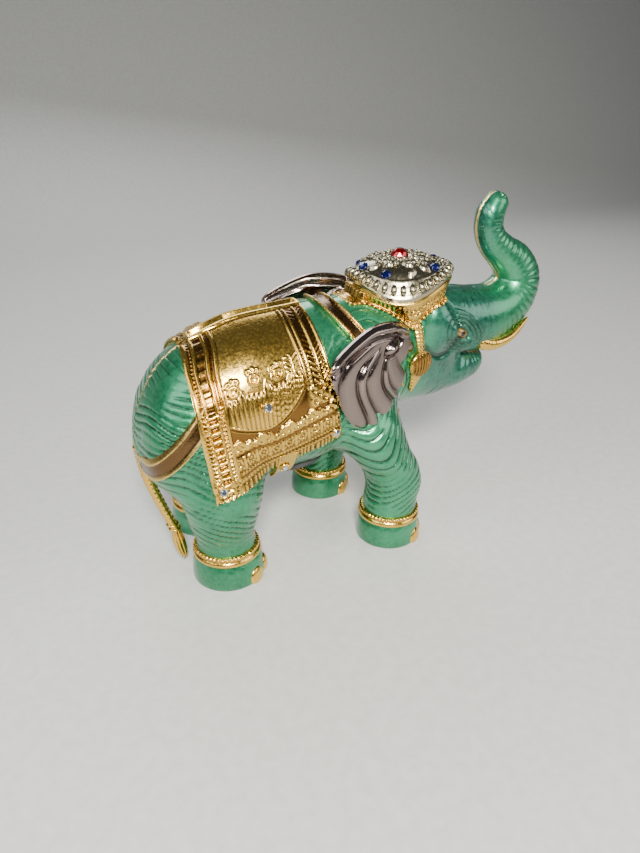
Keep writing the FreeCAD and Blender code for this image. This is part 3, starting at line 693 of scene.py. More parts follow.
def trunk_place(points):
    """Arc length along the trunk, distance from its middle line and direction to its outer side."""
    run = np.empty(len(points))
    away = np.empty(len(points))
    ahead = np.gradient(trunk_path, axis=0)
    ahead /= np.linalg.norm(ahead, axis=1, keepdims=True)
    outer_side = np.stack([ahead[:, 2], ahead[:, 1], -ahead[:, 0]], axis=1)
    side = np.empty((len(points), 3))
    for start in range(0, len(points), 20000):
        chunk = points[start : start + 20000]
        gap = np.linalg.norm(chunk[:, None, :] - trunk_path[None, :, :], axis=2) - trunk_radii[None, :]
        best = gap.argmin(axis=1)
        run[start : start + 20000] = trunk_run[best] + np.einsum(
            "ij,ij->i", chunk - trunk_path[best], ahead[best]
        )
        away[start : start + 20000] = gap[np.arange(len(chunk)), best]
        side[start : start + 20000] = outer_side[best]
    return run, away, side


def strokes(phase, pitch):
    """Narrow carved grooves along lines of equal phase, 1 at the bottom of each."""
    wave = np.abs(np.sin(math.pi * phase / pitch))
    return 1.0 - step(0.0, 0.62, wave)


def carve_skin(points, normals):
    """Height of the modelling over the smooth form, depth of its grooves, gilding and face colour. The depth
    darkens the enamel in the grooves: thicker pooled enamel, deepened as painted shade.
    """
    x, y, z = points.T
    wobble = noise(points, 9.0)
    fine = noise(points + 40.0, 3.0)
    # hair: strokes that run round the legs, fall over the rump and sweep round the shoulder
    rear = 1.0 - step(-34.0, -26.0, x)
    front = step(-14.0, -8.0, x)
    rear_phase = z + 0.34 * (x + 46.0) + 0.010 * (x + 46.0) ** 2 + 1.7 * wobble
    shoulder = np.hypot(x + 9.0, (z - 45.0) * 0.82)
    blend = step(18.0, 27.0, z)
    front_phase = (z - 0.42 * (x - 4.0)) * (1.0 - blend) + (45.0 - shoulder + 0.2 * x) * blend + 1.6 * wobble
    belly_phase = z * 0.62 - 0.62 * x + 1.5 * wobble
    groove = rear * strokes(rear_phase, 1.9)
    groove = groove + front * strokes(front_phase, 1.9)
    groove = groove + (1.0 - rear) * (1.0 - front) * strokes(belly_phase, 1.9)
    broken = 0.25 + 0.75 * step(-0.5, 0.0, noise(points * np.array([0.5, 0.5, 1.4]) + 17.0, 4.2))
    body_part = 1.0 - step(10.0, 15.0, x)
    high = step(4.0, 12.0, z) * (1.0 - 0.55 * step(48.0, 62.0, z))
    groove = groove * broken * body_part * high
    height = -0.48 * groove + 0.10 * fine * body_part * high
    depth = groove.copy()

    run, away, outer_side = trunk_place(points)
    on_trunk = (1.0 - step(1.2, 3.0, away)) * step(3.0, 6.0, run)
    facing = np.einsum("ij,ij->i", normals, outer_side)
    ribs = strokes(run + 0.35 * wobble, 1.75)
    rib_side = step(-0.55, 0.2, facing) * (0.6 + 0.4 * step(10.0, 26.0, run))
    rib = on_trunk * ribs * rib_side * (1.0 - step(trunk_run[-1] - 3.5, trunk_run[-1] - 1.5, run))
    height = height - 0.36 * rib
    depth = np.maximum(depth, rib * 0.55)

    # eye and its lids
    ex, ez = x - EYE_X, z - EYE_Z
    along, across = EYE_COS * ex - EYE_SIN * ez, EYE_SIN * ex + EYE_COS * ez
    ring = np.sqrt((along / 3.5) ** 2 + (across / 2.0) ** 2)
    flank = step(6.0, 8.0, np.abs(y))
    lids = 0.0
    for place, half, tall in ((0.98, 0.26, 0.85), (1.55, 0.24, 0.62), (2.10, 0.22, 0.42), (2.60, 0.20, 0.28)):
        lids = lids + tall * bump(ring, place, half)
    valley = bump(ring, 1.27, 0.16) + bump(ring, 1.83, 0.15) + bump(ring, 2.36, 0.14)
    socket = 1.0 - step(0.62, 0.84, ring)
    height = height + flank * (lids - 0.5 * socket - 0.22 * valley)
    depth = np.maximum(depth, flank * np.maximum(0.8 * valley * (ring < 2.5), socket * 0.9))

    # creases of the cheek, ribs on the lip
    cheek = step(13.0, 17.0, x) * (1.0 - step(33.0, 38.0, x)) * (1.0 - step(46.0, 51.0, z)) * step(34.0,
        38.0, z)
    creases = strokes(x - 0.55 * z + 1.4 * wobble, 2.6) * step(-0.2, 0.3, noise(points + 7.0, 5.0))
    height = height - 0.24 * cheek * creases
    depth = np.maximum(depth, 0.5 * cheek * creases)
    brow = step(28.0, 31.0, x) * (1.0 - step(37.0, 41.0, x)) * step(50.0, 54.0, z) * (ring > 2.7)
    wrinkles = strokes(x + 0.25 * z + 0.8 * wobble, 1.9) * step(-0.4, 0.1, noise(points + 3.0, 4.0))
    height = height - 0.26 * brow * wrinkles
    depth = np.maximum(depth, 0.45 * brow * wrinkles)
    # crease in front of and under the temple
    tx, tz = x - 20.0, z - 59.6
    around = np.hypot((tx + 0.25 * tz) / 6.3, tz / 8.6)
    temple = bump(around, 1.06, 0.17) * np.maximum(step(-1.0, 3.0, tx), step(2.0, 6.0, -tz)) * step(5.0,
        8.0, np.abs(y))
    height = height - 0.75 * temple
    depth = np.maximum(depth, 0.85 * temple)
    lip = step(35.0, 37.0, x) * (1.0 - step(46.5, 48.0, z)) * step(39.0, 41.0, z)
    lip_ribs = strokes(x + 0.3 * z, 1.35)
    height = height - 0.22 * lip * lip_ribs
    depth = np.maximum(depth, 0.5 * lip * lip_ribs)

    # gilding: seam over the rump, inner edge and underside of the trunk
    seam = (np.abs(y) < 0.55) & (x < -46.0) & (z > 34.0)
    inner = (np.abs(y) < 0.45) & (facing < -0.6) & (away < 1.0) & (run > 14.0)
    below = (np.abs(y) < 3.4 * bump(run, 17.0, 11.0)) & (facing > 0.3) & (away < 1.6)
    gild = np.where(seam | inner | below, 1.0, 0.0)
    height = np.where(seam, height + 0.12, height)
    face = step(12.0, 20.0, x) * (1.0 - step(36.0, 46.0, x))
    return height, depth, gild, face


def hollow(field):
    """Bores the coin chamber, the slot and the hole of the stopper."""
    x, y, z = field.everywhere()
    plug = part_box("belly_plug")
    cx = float(plug[0][0] + plug[1][0]) / 2 / MM
    cy = float(plug[0][1] + plug[1][1]) / 2 / MM
    bore = np.maximum(np.hypot(x - cx, y - cy) - HOLE_RADIUS, z - HOLE_TOP)
    recess = np.maximum(np.hypot(x - cx, y - cy) - RECESS_RADIUS, z - RECESS_TOP)
    room = np.sqrt(sum(((a - c) / r) ** 2 for a, c, r in zip((x, y, z), ROOM_CENTRE, ROOM_RADII))) - 1.0
    room = room * 13.0
    slot = np.maximum(np.maximum(np.abs(x - SLOT_X) - SLOT_HALF, np.abs(y) - SLOT_SIDE), 45.0 - z)
    tool = np.minimum(np.minimum(bore, recess), np.minimum(room, slot))
    field.values = np.maximum(field.values, -tool.astype(np.float32))


hollow(body)
for name, side in SIDES.items():
    across_y = body.everywhere()[1]
    half = np.maximum(body.values, -across_y * np.float32(side) + np.float32(0.03))
    points, quads = skin_of(half, body.low, PITCH)
    away = body.at(points)
    open_skin = (np.abs(points[:, 1]) > 0.25) & (np.abs(away) < 0.4)
    normals = body.normal(points)
    points = np.where(open_skin[:, None], points - normals * away[:, None], points)
    normals = body.normal(points)
    original = body.values
    body.values = outer
    near_outer = np.abs(body.at(points)) < 0.25
    normals_outer = body.normal(points, 0.7)
    body.values = original
    height, depth, gild, face = carve_skin(points, normals_outer)
    keep = near_outer & (points[:, 2] > 0.6)
    fade = step(0.0, 0.9, np.abs(points[:, 1]))
    height = np.where(gild > 0.5, height, height * fade)
    points = points + normals_outer * np.where(keep, height, 0.0)[:, None]
    shell = mesh_object(name + "_casting", points, quads)
    attribute(shell, "carve", np.where(keep, depth, 0.0))
    attribute(shell, "gild", np.where(keep, gild, 0.0))
    attribute(shell, "face", face)
    piece(shell, ENAMEL, "enamel", name + "_shell")
body.values = outer


# ---------------------------------------------------------------- skins: layers on the body, and straps


# A layer on the body reaches this far under the skin.
SKIN_UNDER = 0.5

# Straps stop this far from the stopper's axis, below this height.
STOPPER_CLEAR, STOPPER_CLEAR_TOP = 13.0, 40.0


def skin_piece(name, low, high, pitch, thickness, outline, depth_of=None):
    """A layer on the body: thickness and outline are functions of X, Y and Z in millimetres."""
    local = Field(low, high, pitch)
    x, y, z = local.everywhere()
    full = np.stack(np.broadcast_arrays(x, y, z), axis=-1).astype(float)
    base = body.at(full)
    thick = thickness(full[..., 0], full[..., 1], full[..., 2])
    edge = outline(full[..., 0], full[..., 1], full[..., 2])
    layer = smax(base - thick, edge, 0.35)
    layer = np.maximum(layer, -(base + SKIN_UNDER))
    local.values = layer.astype(np.float32)
    points, quads = skin_of(local.values, local.low, pitch)
    made = mesh_object(name, points, quads)
    depth = np.zeros(len(points)) if depth_of is None else depth_of(*points.T)
    attribute(made, "carve", depth)
    return made


def band(place_x, place_z, lean, width):
    """Distance across a strap whose plane passes through a point and leans from upright, degrees."""
    c, s = math.cos(math.radians(lean)), math.sin(math.radians(lean))

    def across(x, y, z):
        return (x - place_x) * c + (z - place_z) * s

    return across, width / 2


def strap_profile(across, half, flat, rim, x, y, z):
    w = np.abs(across(x, y, z))
    return flat + rim * bump(w, half - 0.55, 0.6)


def node_box(node):
    low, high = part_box(node)
    return np.array(low) / MM, np.array(high) / MM


def strap(name, node, across, half, flat, rim, floor, material, middle_shade, pitch=0.3):
    low, high = node_box(node)
    thickness = lambda x, y, z: strap_profile(across, half, flat, rim, x, y, z)
    plug_low, plug_high = node_box("belly_plug")
    px, py = ((plug_low + plug_high) / 2)[:2]
    around_plug = lambda x, y, z: STOPPER_CLEAR - np.hypot(x - px, y - py) - 60.0 * (z > STOPPER_CLEAR_TOP)
    outline = lambda x, y, z: np.maximum.reduce(
        [np.abs(across(x, y, z)) - half, floor - z + 0 * x, around_plug(x, y, z)]
    )
    # The middle of the strap, between its raised rims, is darkened: painted shade.
    made = skin_piece(
        name,
        low - 1.5,
        high + 1.5,
        pitch,
        thickness,
        outline,
        lambda x, y, z: middle_shade * (1.0 - step(half - 1.2, half - 0.75, np.abs(across(x, y, z)))),
    )
    return piece(made, material, "gilt", node)


STRAPS = {
    "crupper_strap": (band(-54.4, 39.6, -41.5, 4.6), 0.35, 0.75, SHADED_GILT, 0.0, 1.2),
    "neck_strap": (band(2.7, 50.2, 35.4, 4.6), 0.4, 0.7, SHADED_GILT, 45.0, 1.2),
    "girth_strap": (band(-27.0, 45.0, 0.0, 5.4), 0.65, 0.4, GILT, 0.0, 0.2),
}
for node, ((across, half), flat, rim, finish, lowest, middle_shade) in STRAPS.items():
    strap(node + "_cast", node, across, half, flat, rim, lowest, finish, middle_shade)


def side_y(x, z, side):
    """How far out the body's skin is at a place in the side view."""
    x, z = np.broadcast_arrays(np.asarray(x, float), np.asarray(z, float))
    origin = np.stack([x, np.zeros(x.shape), z], axis=-1)
    ways = np.zeros(x.shape + (3,)) + np.array([0.0, side, 0.0])
    return np.maximum(ray_out(origin, ways, 27.0, -0.01, 0.4), 0.0)


def ray_out(origin, ways, far=34.0, near=3.0, pace=0.5):
    """Distance along each way at which the body's skin is met, coming from outside."""
    origin = np.broadcast_to(origin, ways.shape)
    reaches = np.arange(far, near, -pace)
    best = np.full(ways.shape[:-1], near)
    inside = np.zeros(ways.shape[:-1], bool)
    last = body.at(origin + ways * reaches[0])
    for reach in reaches[1:]:
        now = body.at(origin + ways * reach)
        hit = (now <= 0.0) & ~inside
        share = last / np.where(np.abs(last - now) > 1e-9, last - now, 1.0)
        best = np.where(hit, reach + pace * (1.0 - np.clip(share, 0, 1)), best)
        inside |= hit
        last = now
    return best


# ---------------------------------------------------------------- saddle cloth

REAR_EDGE = through([27.5, 36.0, 45.0, 56.0, 62.0, 70.0], [-46.9, -47.7, -48.6, -48.8, -47.6, -46.6])
FRONT_EDGE = through([36.6, 47.0, 57.0, 64.0, 70.0], [-12.0, -14.4, -15.6, -16.4, -17.0])
BOTTOM_EDGE = through([-47.0, -30.0, -12.0], [27.7, 31.7, 36.7])


def teeth(place, pitch, edge=0.5):
    """A row of rounded bars, 1 on a bar and 0 between."""
    return step(-edge, edge, np.cos(2 * math.pi * place / pitch))


def beads(along, across, pitch, radius):
    """A row of beads on a line."""
    near = (along + pitch / 2) % pitch - pitch / 2
    return np.sqrt(np.clip(1.0 - (near**2 + across**2) / radius**2, 0.0, 1.0))


def ring(x, y, radius, thick):
    return bump(np.hypot(x, y), radius, thick)


def cloth_relief(dr, df, db):
    """Height of the chased pattern. Distances are from the rear, front and bottom edges."""
    width = dr + df
    low = 1.0 - step(19.0, 23.0, db)
    high = 1.0 - low
    h = np.zeros_like(dr)
    # rear border
    rear = 1.0 - step(6.9, 7.3, dr)
    lines = 0.42 * ridge(dr, 0.5, 0.5, 0.2) + 0.30 * ridge(dr, 2.15, 0.32, 0.15) + 0.42 * ridge(dr, 4.75,
        0.36, 0.15)
    lines = lines + 0.36 * ridge(dr, 6.45, 0.38, 0.15)
    ladder = 0.72 * teeth(db, 1.9, 0.6) * ridge(dr, 3.45, 1.2, 0.15) * low
    ticks = 0.42 * teeth(db + 0.35 * dr, 1.05, 0.6) * ridge(dr, 1.3, 0.75, 0.2) * (0.12 + 0.88 * low)
    pearls = 0.40 * beads(db, dr - 5.6, 1.0, 0.42) * low
    soft = 0.06 * teeth(db, 2.6, 0.9) * ridge(dr, 3.45, 1.1, 0.3) * high
    h = h + rear * np.maximum.reduce([lines, ladder, ticks, pearls, soft])
    # front border
    front = (1.0 - step(7.0, 7.4, df)) * (1.0 - rear)
    lines = 0.40 * ridge(df, 0.4, 0.4, 0.2) + 0.42 * ridge(df, 2.7, 0.32, 0.15) + 0.34 * ridge(df, 5.3,
        0.34, 0.15)
    lines = lines + 0.40 * ridge(df, 6.6, 0.34, 0.15)
    faint = 0.2 + 0.8 * (1.0 - step(22.0, 27.0, db))
    twist = 0.40 * teeth(db + 0.8 * df, 1.25, 0.6) * ridge(df, 1.55, 0.7, 0.2) * faint
    weave = 0.34 * teeth(db - 0.9 * df, 1.5, 0.6) * ridge(df, 4.0, 0.8, 0.2) * faint
    dots = 0.36 * beads(db, df - 5.95, 0.95, 0.4) * faint
    plain = np.maximum.reduce([lines, twist, weave, dots])
    chequer = 0.55 * step(-0.25, 0.25, np.sin(math.pi * df / 1.25) * np.sin(math.pi * db / 1.25) + 0.15)
    on_chequer = ridge(db, 13.8, 4.0, 0.3)
    plain = plain * (1.0 - on_chequer) + (chequer * ridge(df, 3.4, 3.1, 0.2) + 0.15) * on_chequer
    h = h + front * plain
    # field between the borders
    field = (1.0 - rear) * (1.0 - front)
    t = (dr - 7.2) / np.maximum(width - 14.4, 1.0)
    fan_low = 13.6 + 4.5 * (2.0 * t - 0.85) ** 2
    fan_high = 22.0 + 1.6 * bump(t, 0.18, 0.08) + 2.4 * bump(t, 0.52, 0.07) + 1.5 * bump(t, 0.86, 0.1)
    in_fan = step(fan_low - 0.2, fan_low + 0.2, db) * (1.0 - step(fan_high - 0.8, fan_high + 0.8, db))
    lean = dr + 0.18 * (db - 14.0) * (0.5 - t)
    ribs = (0.20 + 0.34 * teeth(lean, 1.05, 0.7)) * in_fan
    ribs = ribs + 0.06 * teeth(db + 0.4 * np.sin(lean * 2.1), 1.3, 0.8) * in_fan * step(0.45, 0.6, t)
    rim = 0.5 * bump(db - fan_low, 0.0, 0.5) + 0.25 * bump(db - fan_low, -0.95, 0.35)
    knots = np.zeros_like(dr)
    for centre, level in ((0.10, 24.2), (0.37, 25.6), (0.68, 24.8)):
        x, y = dr - 7.2 - centre * (width - 14.4), db - level
        knots = np.maximum(knots, 0.62 * ring(x, y, 1.05, 0.62))
        knots = np.maximum(knots, 0.5 * ring(x + 0.9, y - 1.7, 0.55, 0.45))
        knots = np.maximum(knots, 0.5 * ring(x - 0.8, y - 1.8, 0.55, 0.45))
        knots = np.maximum(knots, 0.5 * bump(np.hypot(x, y - 2.6), 0.0, 0.6))
    tree = dr - 7.2 - 0.90 * (width - 14.4)
    leaf = 0.45 * bump(np.abs(tree), 0.0, 0.4) * ridge(db, 24.5, 3.0, 0.4)
    leaf = np.maximum(leaf, 0.26 * teeth(db - 0.7 * np.abs(tree), 1.2, 0.7)
        * (1 - step(1.4, 1.9, np.abs(tree)))
                      * ridge(db, 25.0, 2.6, 0.4))
    h = h + field * np.maximum.reduce([ribs, rim, knots, leaf])
    # bands along the bottom
    wave = 11.6 + 0.75 * np.sin(dr * 2 * math.pi / 6.4) + 0.4 * np.sin(dr * 2 * math.pi / 2.7 + 1.0)
    scroll = 0.30 + 0.28 * ridge(db, wave, 0.5, 0.25)
    scroll = scroll + 0.34 * beads(dr, db - 10.3, 1.3, 0.5) + 0.2 * teeth(dr + 1.1 * db, 1.9, 0.9)
    scroll = scroll * step(9.3, 9.6, db) * (1.0 - step(wave + 0.5, wave + 0.9, db))
    cell = (dr + 1.75) % 3.5 - 1.75
    arch = np.maximum(0.45 * ring(cell, db - 7.3, 1.0, 0.42), 0.5 * bump(np.hypot(cell, db - 7.3), 0.0, 0.5))
    arch = np.maximum(arch, 0.42 * bump(np.abs(np.abs(cell) - 1.6), 0.0, 0.3) * ridge(db, 6.9, 1.7, 0.2))
    arch = np.maximum(arch, 0.3 * teeth(dr, 0.9, 0.7) * ridge(db, 5.9, 0.35, 0.15))
    arch = (arch + 0.10) * ridge(db, 7.1, 2.0, 0.25)
    dotted = 0.34 * beads(dr, db - 4.55, 0.85, 0.38) + 0.14 * ridge(db, 4.55, 0.7, 0.2)
    rope = 0.5 * ridge(db, 2.95, 0.42, 0.2) * (0.45 + 0.55 * teeth(dr + 0.9 * db, 0.95, 0.7))
    fringe = 0.32 * teeth(dr + 0.25 * np.sin(dr), 1.15, 0.6) * (1.0 - step(2.0, 2.4, db)) + 0.06
    fringe = fringe * (1.0 - step(2.2, 2.5, db))
    base = np.maximum.reduce([scroll, arch, dotted, rope, fringe])
    on_base = (1.0 - step(12.6, 13.2, db)) * (1.0 - 0.85 * ridge(dr, 3.3, 3.6, 0.3) * step(3.2, 3.6, db))
    h = np.maximum(h * (1.0 - on_base * (db < 13.2)) + h * rear, base * on_base)
    return h


def cloth(side_name):
    side = SIDES[side_name]
    nu, nv = 168, 225
    u = np.linspace(0.0, 1.0, nu)[:, None] * np.ones((1, nv))
    v = np.ones((nu, 1)) * np.linspace(0.0, 1.0, nv)[None, :]
    turn = v * 2.25
    middle = 43.0
    for stage_number in range(5):
        if stage_number == 0:
            z = middle + 21.0 * np.cos(turn)
        x = REAR_EDGE(z) + u * (FRONT_EDGE(z) - REAR_EDGE(z))
        ways = np.stack([np.zeros_like(x), side * np.sin(turn), np.cos(turn)], axis=-1)
        origin = np.stack([x, np.zeros_like(x), np.full(x.shape, middle)], axis=-1)
        r = ray_out(origin, ways, 30.0, 8.0, 1.0)
        z = middle + r * np.cos(turn)
        if stage_number == 2:
            ends = np.empty(nu)
            for i in range(nu):
                gap = z[i] - BOTTOM_EDGE(x[i])
                k = int(np.argmax(gap < 0.0))
                share = gap[k - 1] / (gap[k - 1] - gap[k])
                ends[i] = turn[i, k - 1] + share * (turn[i, k] - turn[i, k - 1])
            turn = v * ends[:, None]
    points = origin + ways * r[..., None]
    run = np.concatenate([np.zeros((nu, 1)),
        np.cumsum(np.linalg.norm(np.diff(points, axis=1), axis=2), axis=1)], axis=1)
    s = run
    db = run[:, -1:] - run
    dr = x - REAR_EDGE(z)
    df = FRONT_EDGE(z) - x
    h = cloth_relief(dr, df, db)
    away = np.abs(points[..., 1])
    lip = ridge(away, SLOT_SIDE + 0.55, 0.55, 0.12) * (1.0
        - step(SLOT_HALF + 0.7, SLOT_HALF + 1.1, np.abs(x - SLOT_X)))
    ends = (1.0 - step(SLOT_SIDE + 1.0, SLOT_SIDE + 1.3, away)) * ridge(np.abs(x - SLOT_X), SLOT_HALF
        + 0.55, 0.5, 0.12)
    h = np.where(s < 4.0, h * step(2.6, 3.4, s), h)
    h = np.maximum(h, 0.62 * np.maximum(lip, ends))
    seam = (1.0 - step(0.25, 0.6, away)) * step(SLOT_HALF + 1.2, SLOT_HALF + 1.5, np.abs(x - SLOT_X))
    h = np.maximum(h, 0.35 * seam)
    in_slot = (away < SLOT_SIDE) & (np.abs(x - SLOT_X) < SLOT_HALF)
    n = body.normal(points, 0.9)
    fringe = 0.28 * np.sin(2 * math.pi * dr / 1.15) * (1.0 - step(0.4, 2.2, db))
    points[..., 2] -= fringe
    top = points + n * (0.42 + h)[..., None]
    top[in_slot] = (points - n * 4.0)[in_slot]
    bottom = points - n * 0.7
    bottom[in_slot] = (points - n * 4.4)[in_slot]
    edge_y = 0.02
    for sheet in (top, bottom):
        sheet[:, 0, 1] = side * edge_y
    shape = Shape()
    shape.slab(top, bottom, flip=side > 0)
    made = shape.make(side_name + "_cloth")
    # Hollows of the borders, and the sunk slot, are darkened: painted shade.
    painted_hollow_shade = np.clip(1.25 - h / 0.30, 0.0, 1.1)
    border = np.maximum.reduce([1.0 - step(6.8, 7.4, dr), 1.0 - step(6.9, 7.5, df), 1.0
        - step(22.0, 24.0, db)])
    depth = painted_hollow_shade * border * (0.55 + 0.45 * step(2.6, 3.4, s))
    depth = np.where(in_slot, 1.0, depth)
    attribute(made, "carve", np.concatenate([depth.ravel(), depth.ravel()]))
    return piece(made, GILT, "gilt", side_name + "_saddle_cloth")


for name in SIDES:
    cloth(name)

# ---------------------------------------------------------------- headdress

CAP_X = 13.2
CAP_RADIUS = 14.0
CAP_TOP = 76.4
CAP_BOX = 4.2  # higher is flatter on top and steeper at the rim


def cap_rim(angle):
    """The rim is lowest behind the temples and rises to the forehead and the nape."""
    return 70.96 + 1.54 * np.cos(angle) + 1.16 * np.cos(2 * angle) - 1.23 * np.cos(3 * angle)


def cap_height(x, y):
    rho = np.minimum(np.hypot(x, y) / CAP_RADIUS, 1.0)
    angle = np.arctan2(y, x)
    return CAP_TOP - (CAP_TOP - cap_rim(angle)) * rho**CAP_BOX


def scroll_lines():
    """C-shaped scrolls on the cap: middle, radius, first and last angle."""
    arcs = []
    for k in range(6):
        turn = math.radians(60 * k + 30)
        for flip in (-1.0, 1.0):
            cx, cy = 6.1 * math.cos(turn + 0.20 * flip), 6.1 * math.sin(turn + 0.20 * flip)
            arcs.append((cx, cy, 1.7, turn + flip * 0.4, turn + flip * 3.6))
            bx, by = 9.3 * math.cos(turn + 0.24 * flip), 9.3 * math.sin(turn + 0.24 * flip)
            arcs.append((bx, by, 1.25, turn + math.pi - flip * 0.3, turn + math.pi + flip * 3.4))
    return arcs


def medallion():
    nr, na = 120, 300
    rho = np.linspace(0.0, 1.0, nr)[1:] ** 0.85
    angle = np.linspace(0.0, 2 * math.pi, na, endpoint=False)
    x = CAP_RADIUS * rho[:, None] * np.cos(angle)[None, :]
    y = CAP_RADIUS * rho[:, None] * np.sin(angle)[None, :]
    h = np.zeros_like(x)
    for cx, cy, radius, first, last in scroll_lines():
        dx, dy = x - cx, y - cy
        away = np.arctan2(dy, dx)
        low, high = min(first, last), max(first, last)
        inside = ((away - low) % (2 * math.pi)) < (high - low)
        line = bump(np.hypot(dx, dy), radius, 0.62) * inside
        tip = bump(np.hypot(x - cx - radius * math.cos(last), y - cy - radius * math.sin(last)), 0.0, 0.85)
        h = np.maximum(h, np.maximum(0.75 * line, 0.85 * tip))
    ripple = 0.06 * noise(np.stack([x, y, 0 * x], axis=-1).reshape(-1, 3), 1.3).reshape(x.shape)
    r = np.hypot(x, y)
    h = h * (1.0 - step(11.4, 12.2, r)) + 0.35 * ridge(r, 3.4, 0.35, 0.25) + 0.22 * ridge(r, 11.9, 0.3, 0.2)
    h = h + ripple + 0.25 * step(13.3, 13.9, r)
    z = cap_height(x, y) + h
    bottom = np.minimum(cap_height(x, y) - 1.6, z - 1.4)
    shape = Shape()
    top_points = np.stack([x + CAP_X, y, z], axis=-1)
    low_points = np.stack([x * 0.985 + CAP_X, y * 0.985, bottom], axis=-1)
    shape.grid(top_points, wrap_v=True)
    shape.grid(low_points, wrap_v=True, flip=True)
    shape.grid(np.stack([top_points[-1], low_points[-1]]), wrap_v=True)
    centre = top_points[0].mean(axis=0)
    ring_top = np.concatenate([top_points[0], [centre]])
    faces = [[na, i, (i + 1) % na] for i in range(na)]
    shape.add(ring_top, faces)
    # beads round the rim, round the ruby and at the ends of the scrolls
    for k in range(36):
        a = 2 * math.pi * (k + 0.5) / 36
        bx, by = 13.0 * math.cos(a), 13.0 * math.sin(a)
        slope = np.array([math.cos(a), math.sin(a), -1.4])
        slope /= np.linalg.norm(slope)
        side = np.array([-math.sin(a), math.cos(a), 0.0])
        axes = np.array([slope, side, np.cross(slope, side)])
        seat = np.array([bx + CAP_X, by, float(cap_height(bx, by))])
        shape.ball(seat + 0.5 * axes[2], (1.5, 0.86, 0.95), axes, 8, 12)
    for k in range(12):
        a = 2 * math.pi * (k + 0.5) / 12
        bx, by = 4.3 * math.cos(a), 4.3 * math.sin(a)
        shape.ball((bx + CAP_X, by, float(cap_height(bx, by)) + 0.45), 0.62, None, 7, 10)
    for k in range(24):
        a = 2 * math.pi * k / 24 + 0.13
        reach = 7.4 + 0.5 * math.cos(3 * a)
        bx, by = reach * math.cos(a), reach * math.sin(a)
        if k % 4 != 0:
            shape.ball((bx + CAP_X, by, float(cap_height(bx, by)) + 0.5), 0.5, None, 6, 9)
    made = shape.make("jewelled_cap")
    total = len(made.data.vertices)
    depth = np.zeros(total)
    # The flat ground between the scrolls is darkened: painted shade.
    flat = np.clip(0.75 - 2.0 * np.maximum(h, 0.0), 0.0, 1.0) * (1.0 - step(12.2, 12.8, r))
    depth[: flat.size] = 0.5 * flat.ravel()
    attribute(made, "carve", depth)
    piece(made, PEWTER, "pewter", "head_medallion")


def cut_stone(shape, centre, radius, height, axes, table=0.5):
    """A faceted stone: girdle, a ring of crown facets and a flat table."""
    turns = 12
    rings = [(1.0, -0.35), (1.0, 0.0), (0.80, 0.55), (table, 1.0)]
    around = np.linspace(0.0, 2 * math.pi, turns, endpoint=False)
    points = []
    for k, (wide, tall) in enumerate(rings):
        shift = math.pi / turns if k % 2 else 0.0
        for a in around + shift:
            points.append((wide * radius * math.cos(a), wide * radius * math.sin(a), tall * height))
    points.append((0.0, 0.0, height))
    points = np.asarray(centre) + np.array(points) @ np.asarray(axes)
    faces = []
    for i in range(len(rings) - 1):
        for j in range(turns):
            k = (j + 1) % turns
            a, b = i * turns + j, i * turns + k
            c, d = (i + 1) * turns + k, (i + 1) * turns + j
            if i % 2:
                faces += [[a, b, c], [a, c, d]]
            else:
                faces += [[a, b, d], [b, c, d]]
    top = (len(rings) - 1) * turns
    for j in range(turns):
        faces.append([top + j, top + (j + 1) % turns, len(points) - 1])
    faces.append([j for j in range(turns)][::-1])
    shape.add(points, faces)


def axes_at(normal):
    normal = np.asarray(normal, float) / np.linalg.norm(normal)
    start = np.array([1.0, 0.0, 0.0]) if abs(normal[0]) < 0.8 else np.array([0.0, 1.0, 0.0])
    side = np.cross(normal, start)
    side /= np.linalg.norm(side)
    return [side, np.cross(normal, side), normal]


def collet(shape, centre, radius, normal, claws=4):
    """A raised ring and claws that hold a stone."""
    axes = np.array(axes_at(normal))
    around = np.linspace(0, 2 * math.pi, 25)[:-1]
    ring_points = []
    for wide, tall in ((1.25, -0.3), (1.25, 0.12), (1.08, 0.25), (0.97, 0.1)):
        local = np.stack([np.cos(around) * radius * wide, np.sin(around) * radius * wide,
            np.full(24, tall)], axis=-1)
        ring_points.append(np.asarray(centre) + local @ axes)
    shape.grid(np.array(ring_points), wrap_v=True)
    for k in range(claws):
        a = 2 * math.pi * (k + 0.5) / claws
        local = np.array([math.cos(a) * radius, math.sin(a) * radius, 0.3])
        shape.ball(np.asarray(centre) + local @ axes, 0.22 * radius + 0.08, None, 6, 8)


medallion()
ruby = Shape()
cut_stone(ruby, (CAP_X, 0.0, 76.9), 2.45, 1.7, np.eye(3), 0.4)
piece(ruby.make("centre_ruby", smooth=False), RUBY, "ruby", "medallion_ruby")
sapphires = Shape()
for turn in (0.0, 62.0, 138.0, 180.0, 222.0, 298.0):
    a = math.radians(turn)
    x, y = 10.9 * math.cos(a), 10.9 * math.sin(a)
    slope = [
        -(cap_height(x + 0.3, y) - cap_height(x - 0.3, y)) / 0.6,
        -(cap_height(x, y + 0.3) - cap_height(x, y - 0.3)) / 0.6,
        1.0,
    ]
    cut_stone(sapphires, (x + CAP_X, y, float(cap_height(x, y)) + 0.15), 1.35, 0.75, axes_at(slope), 0.5)
piece(sapphires.make("blue_stones", smooth=False), SAPPHIRE, "sapphire", "medallion_sapphires")

COLLAR_LOW = through(
    [-2.0, 1.5, 5.2, 8.1, 11.6, 13.8, 16.9, 21.2, 27.0, 31.0],
        [68.6, 66.6, 64.9, 62.9, 60.5, 62.4, 65.2, 66.8, 67.8, 68.0]
)


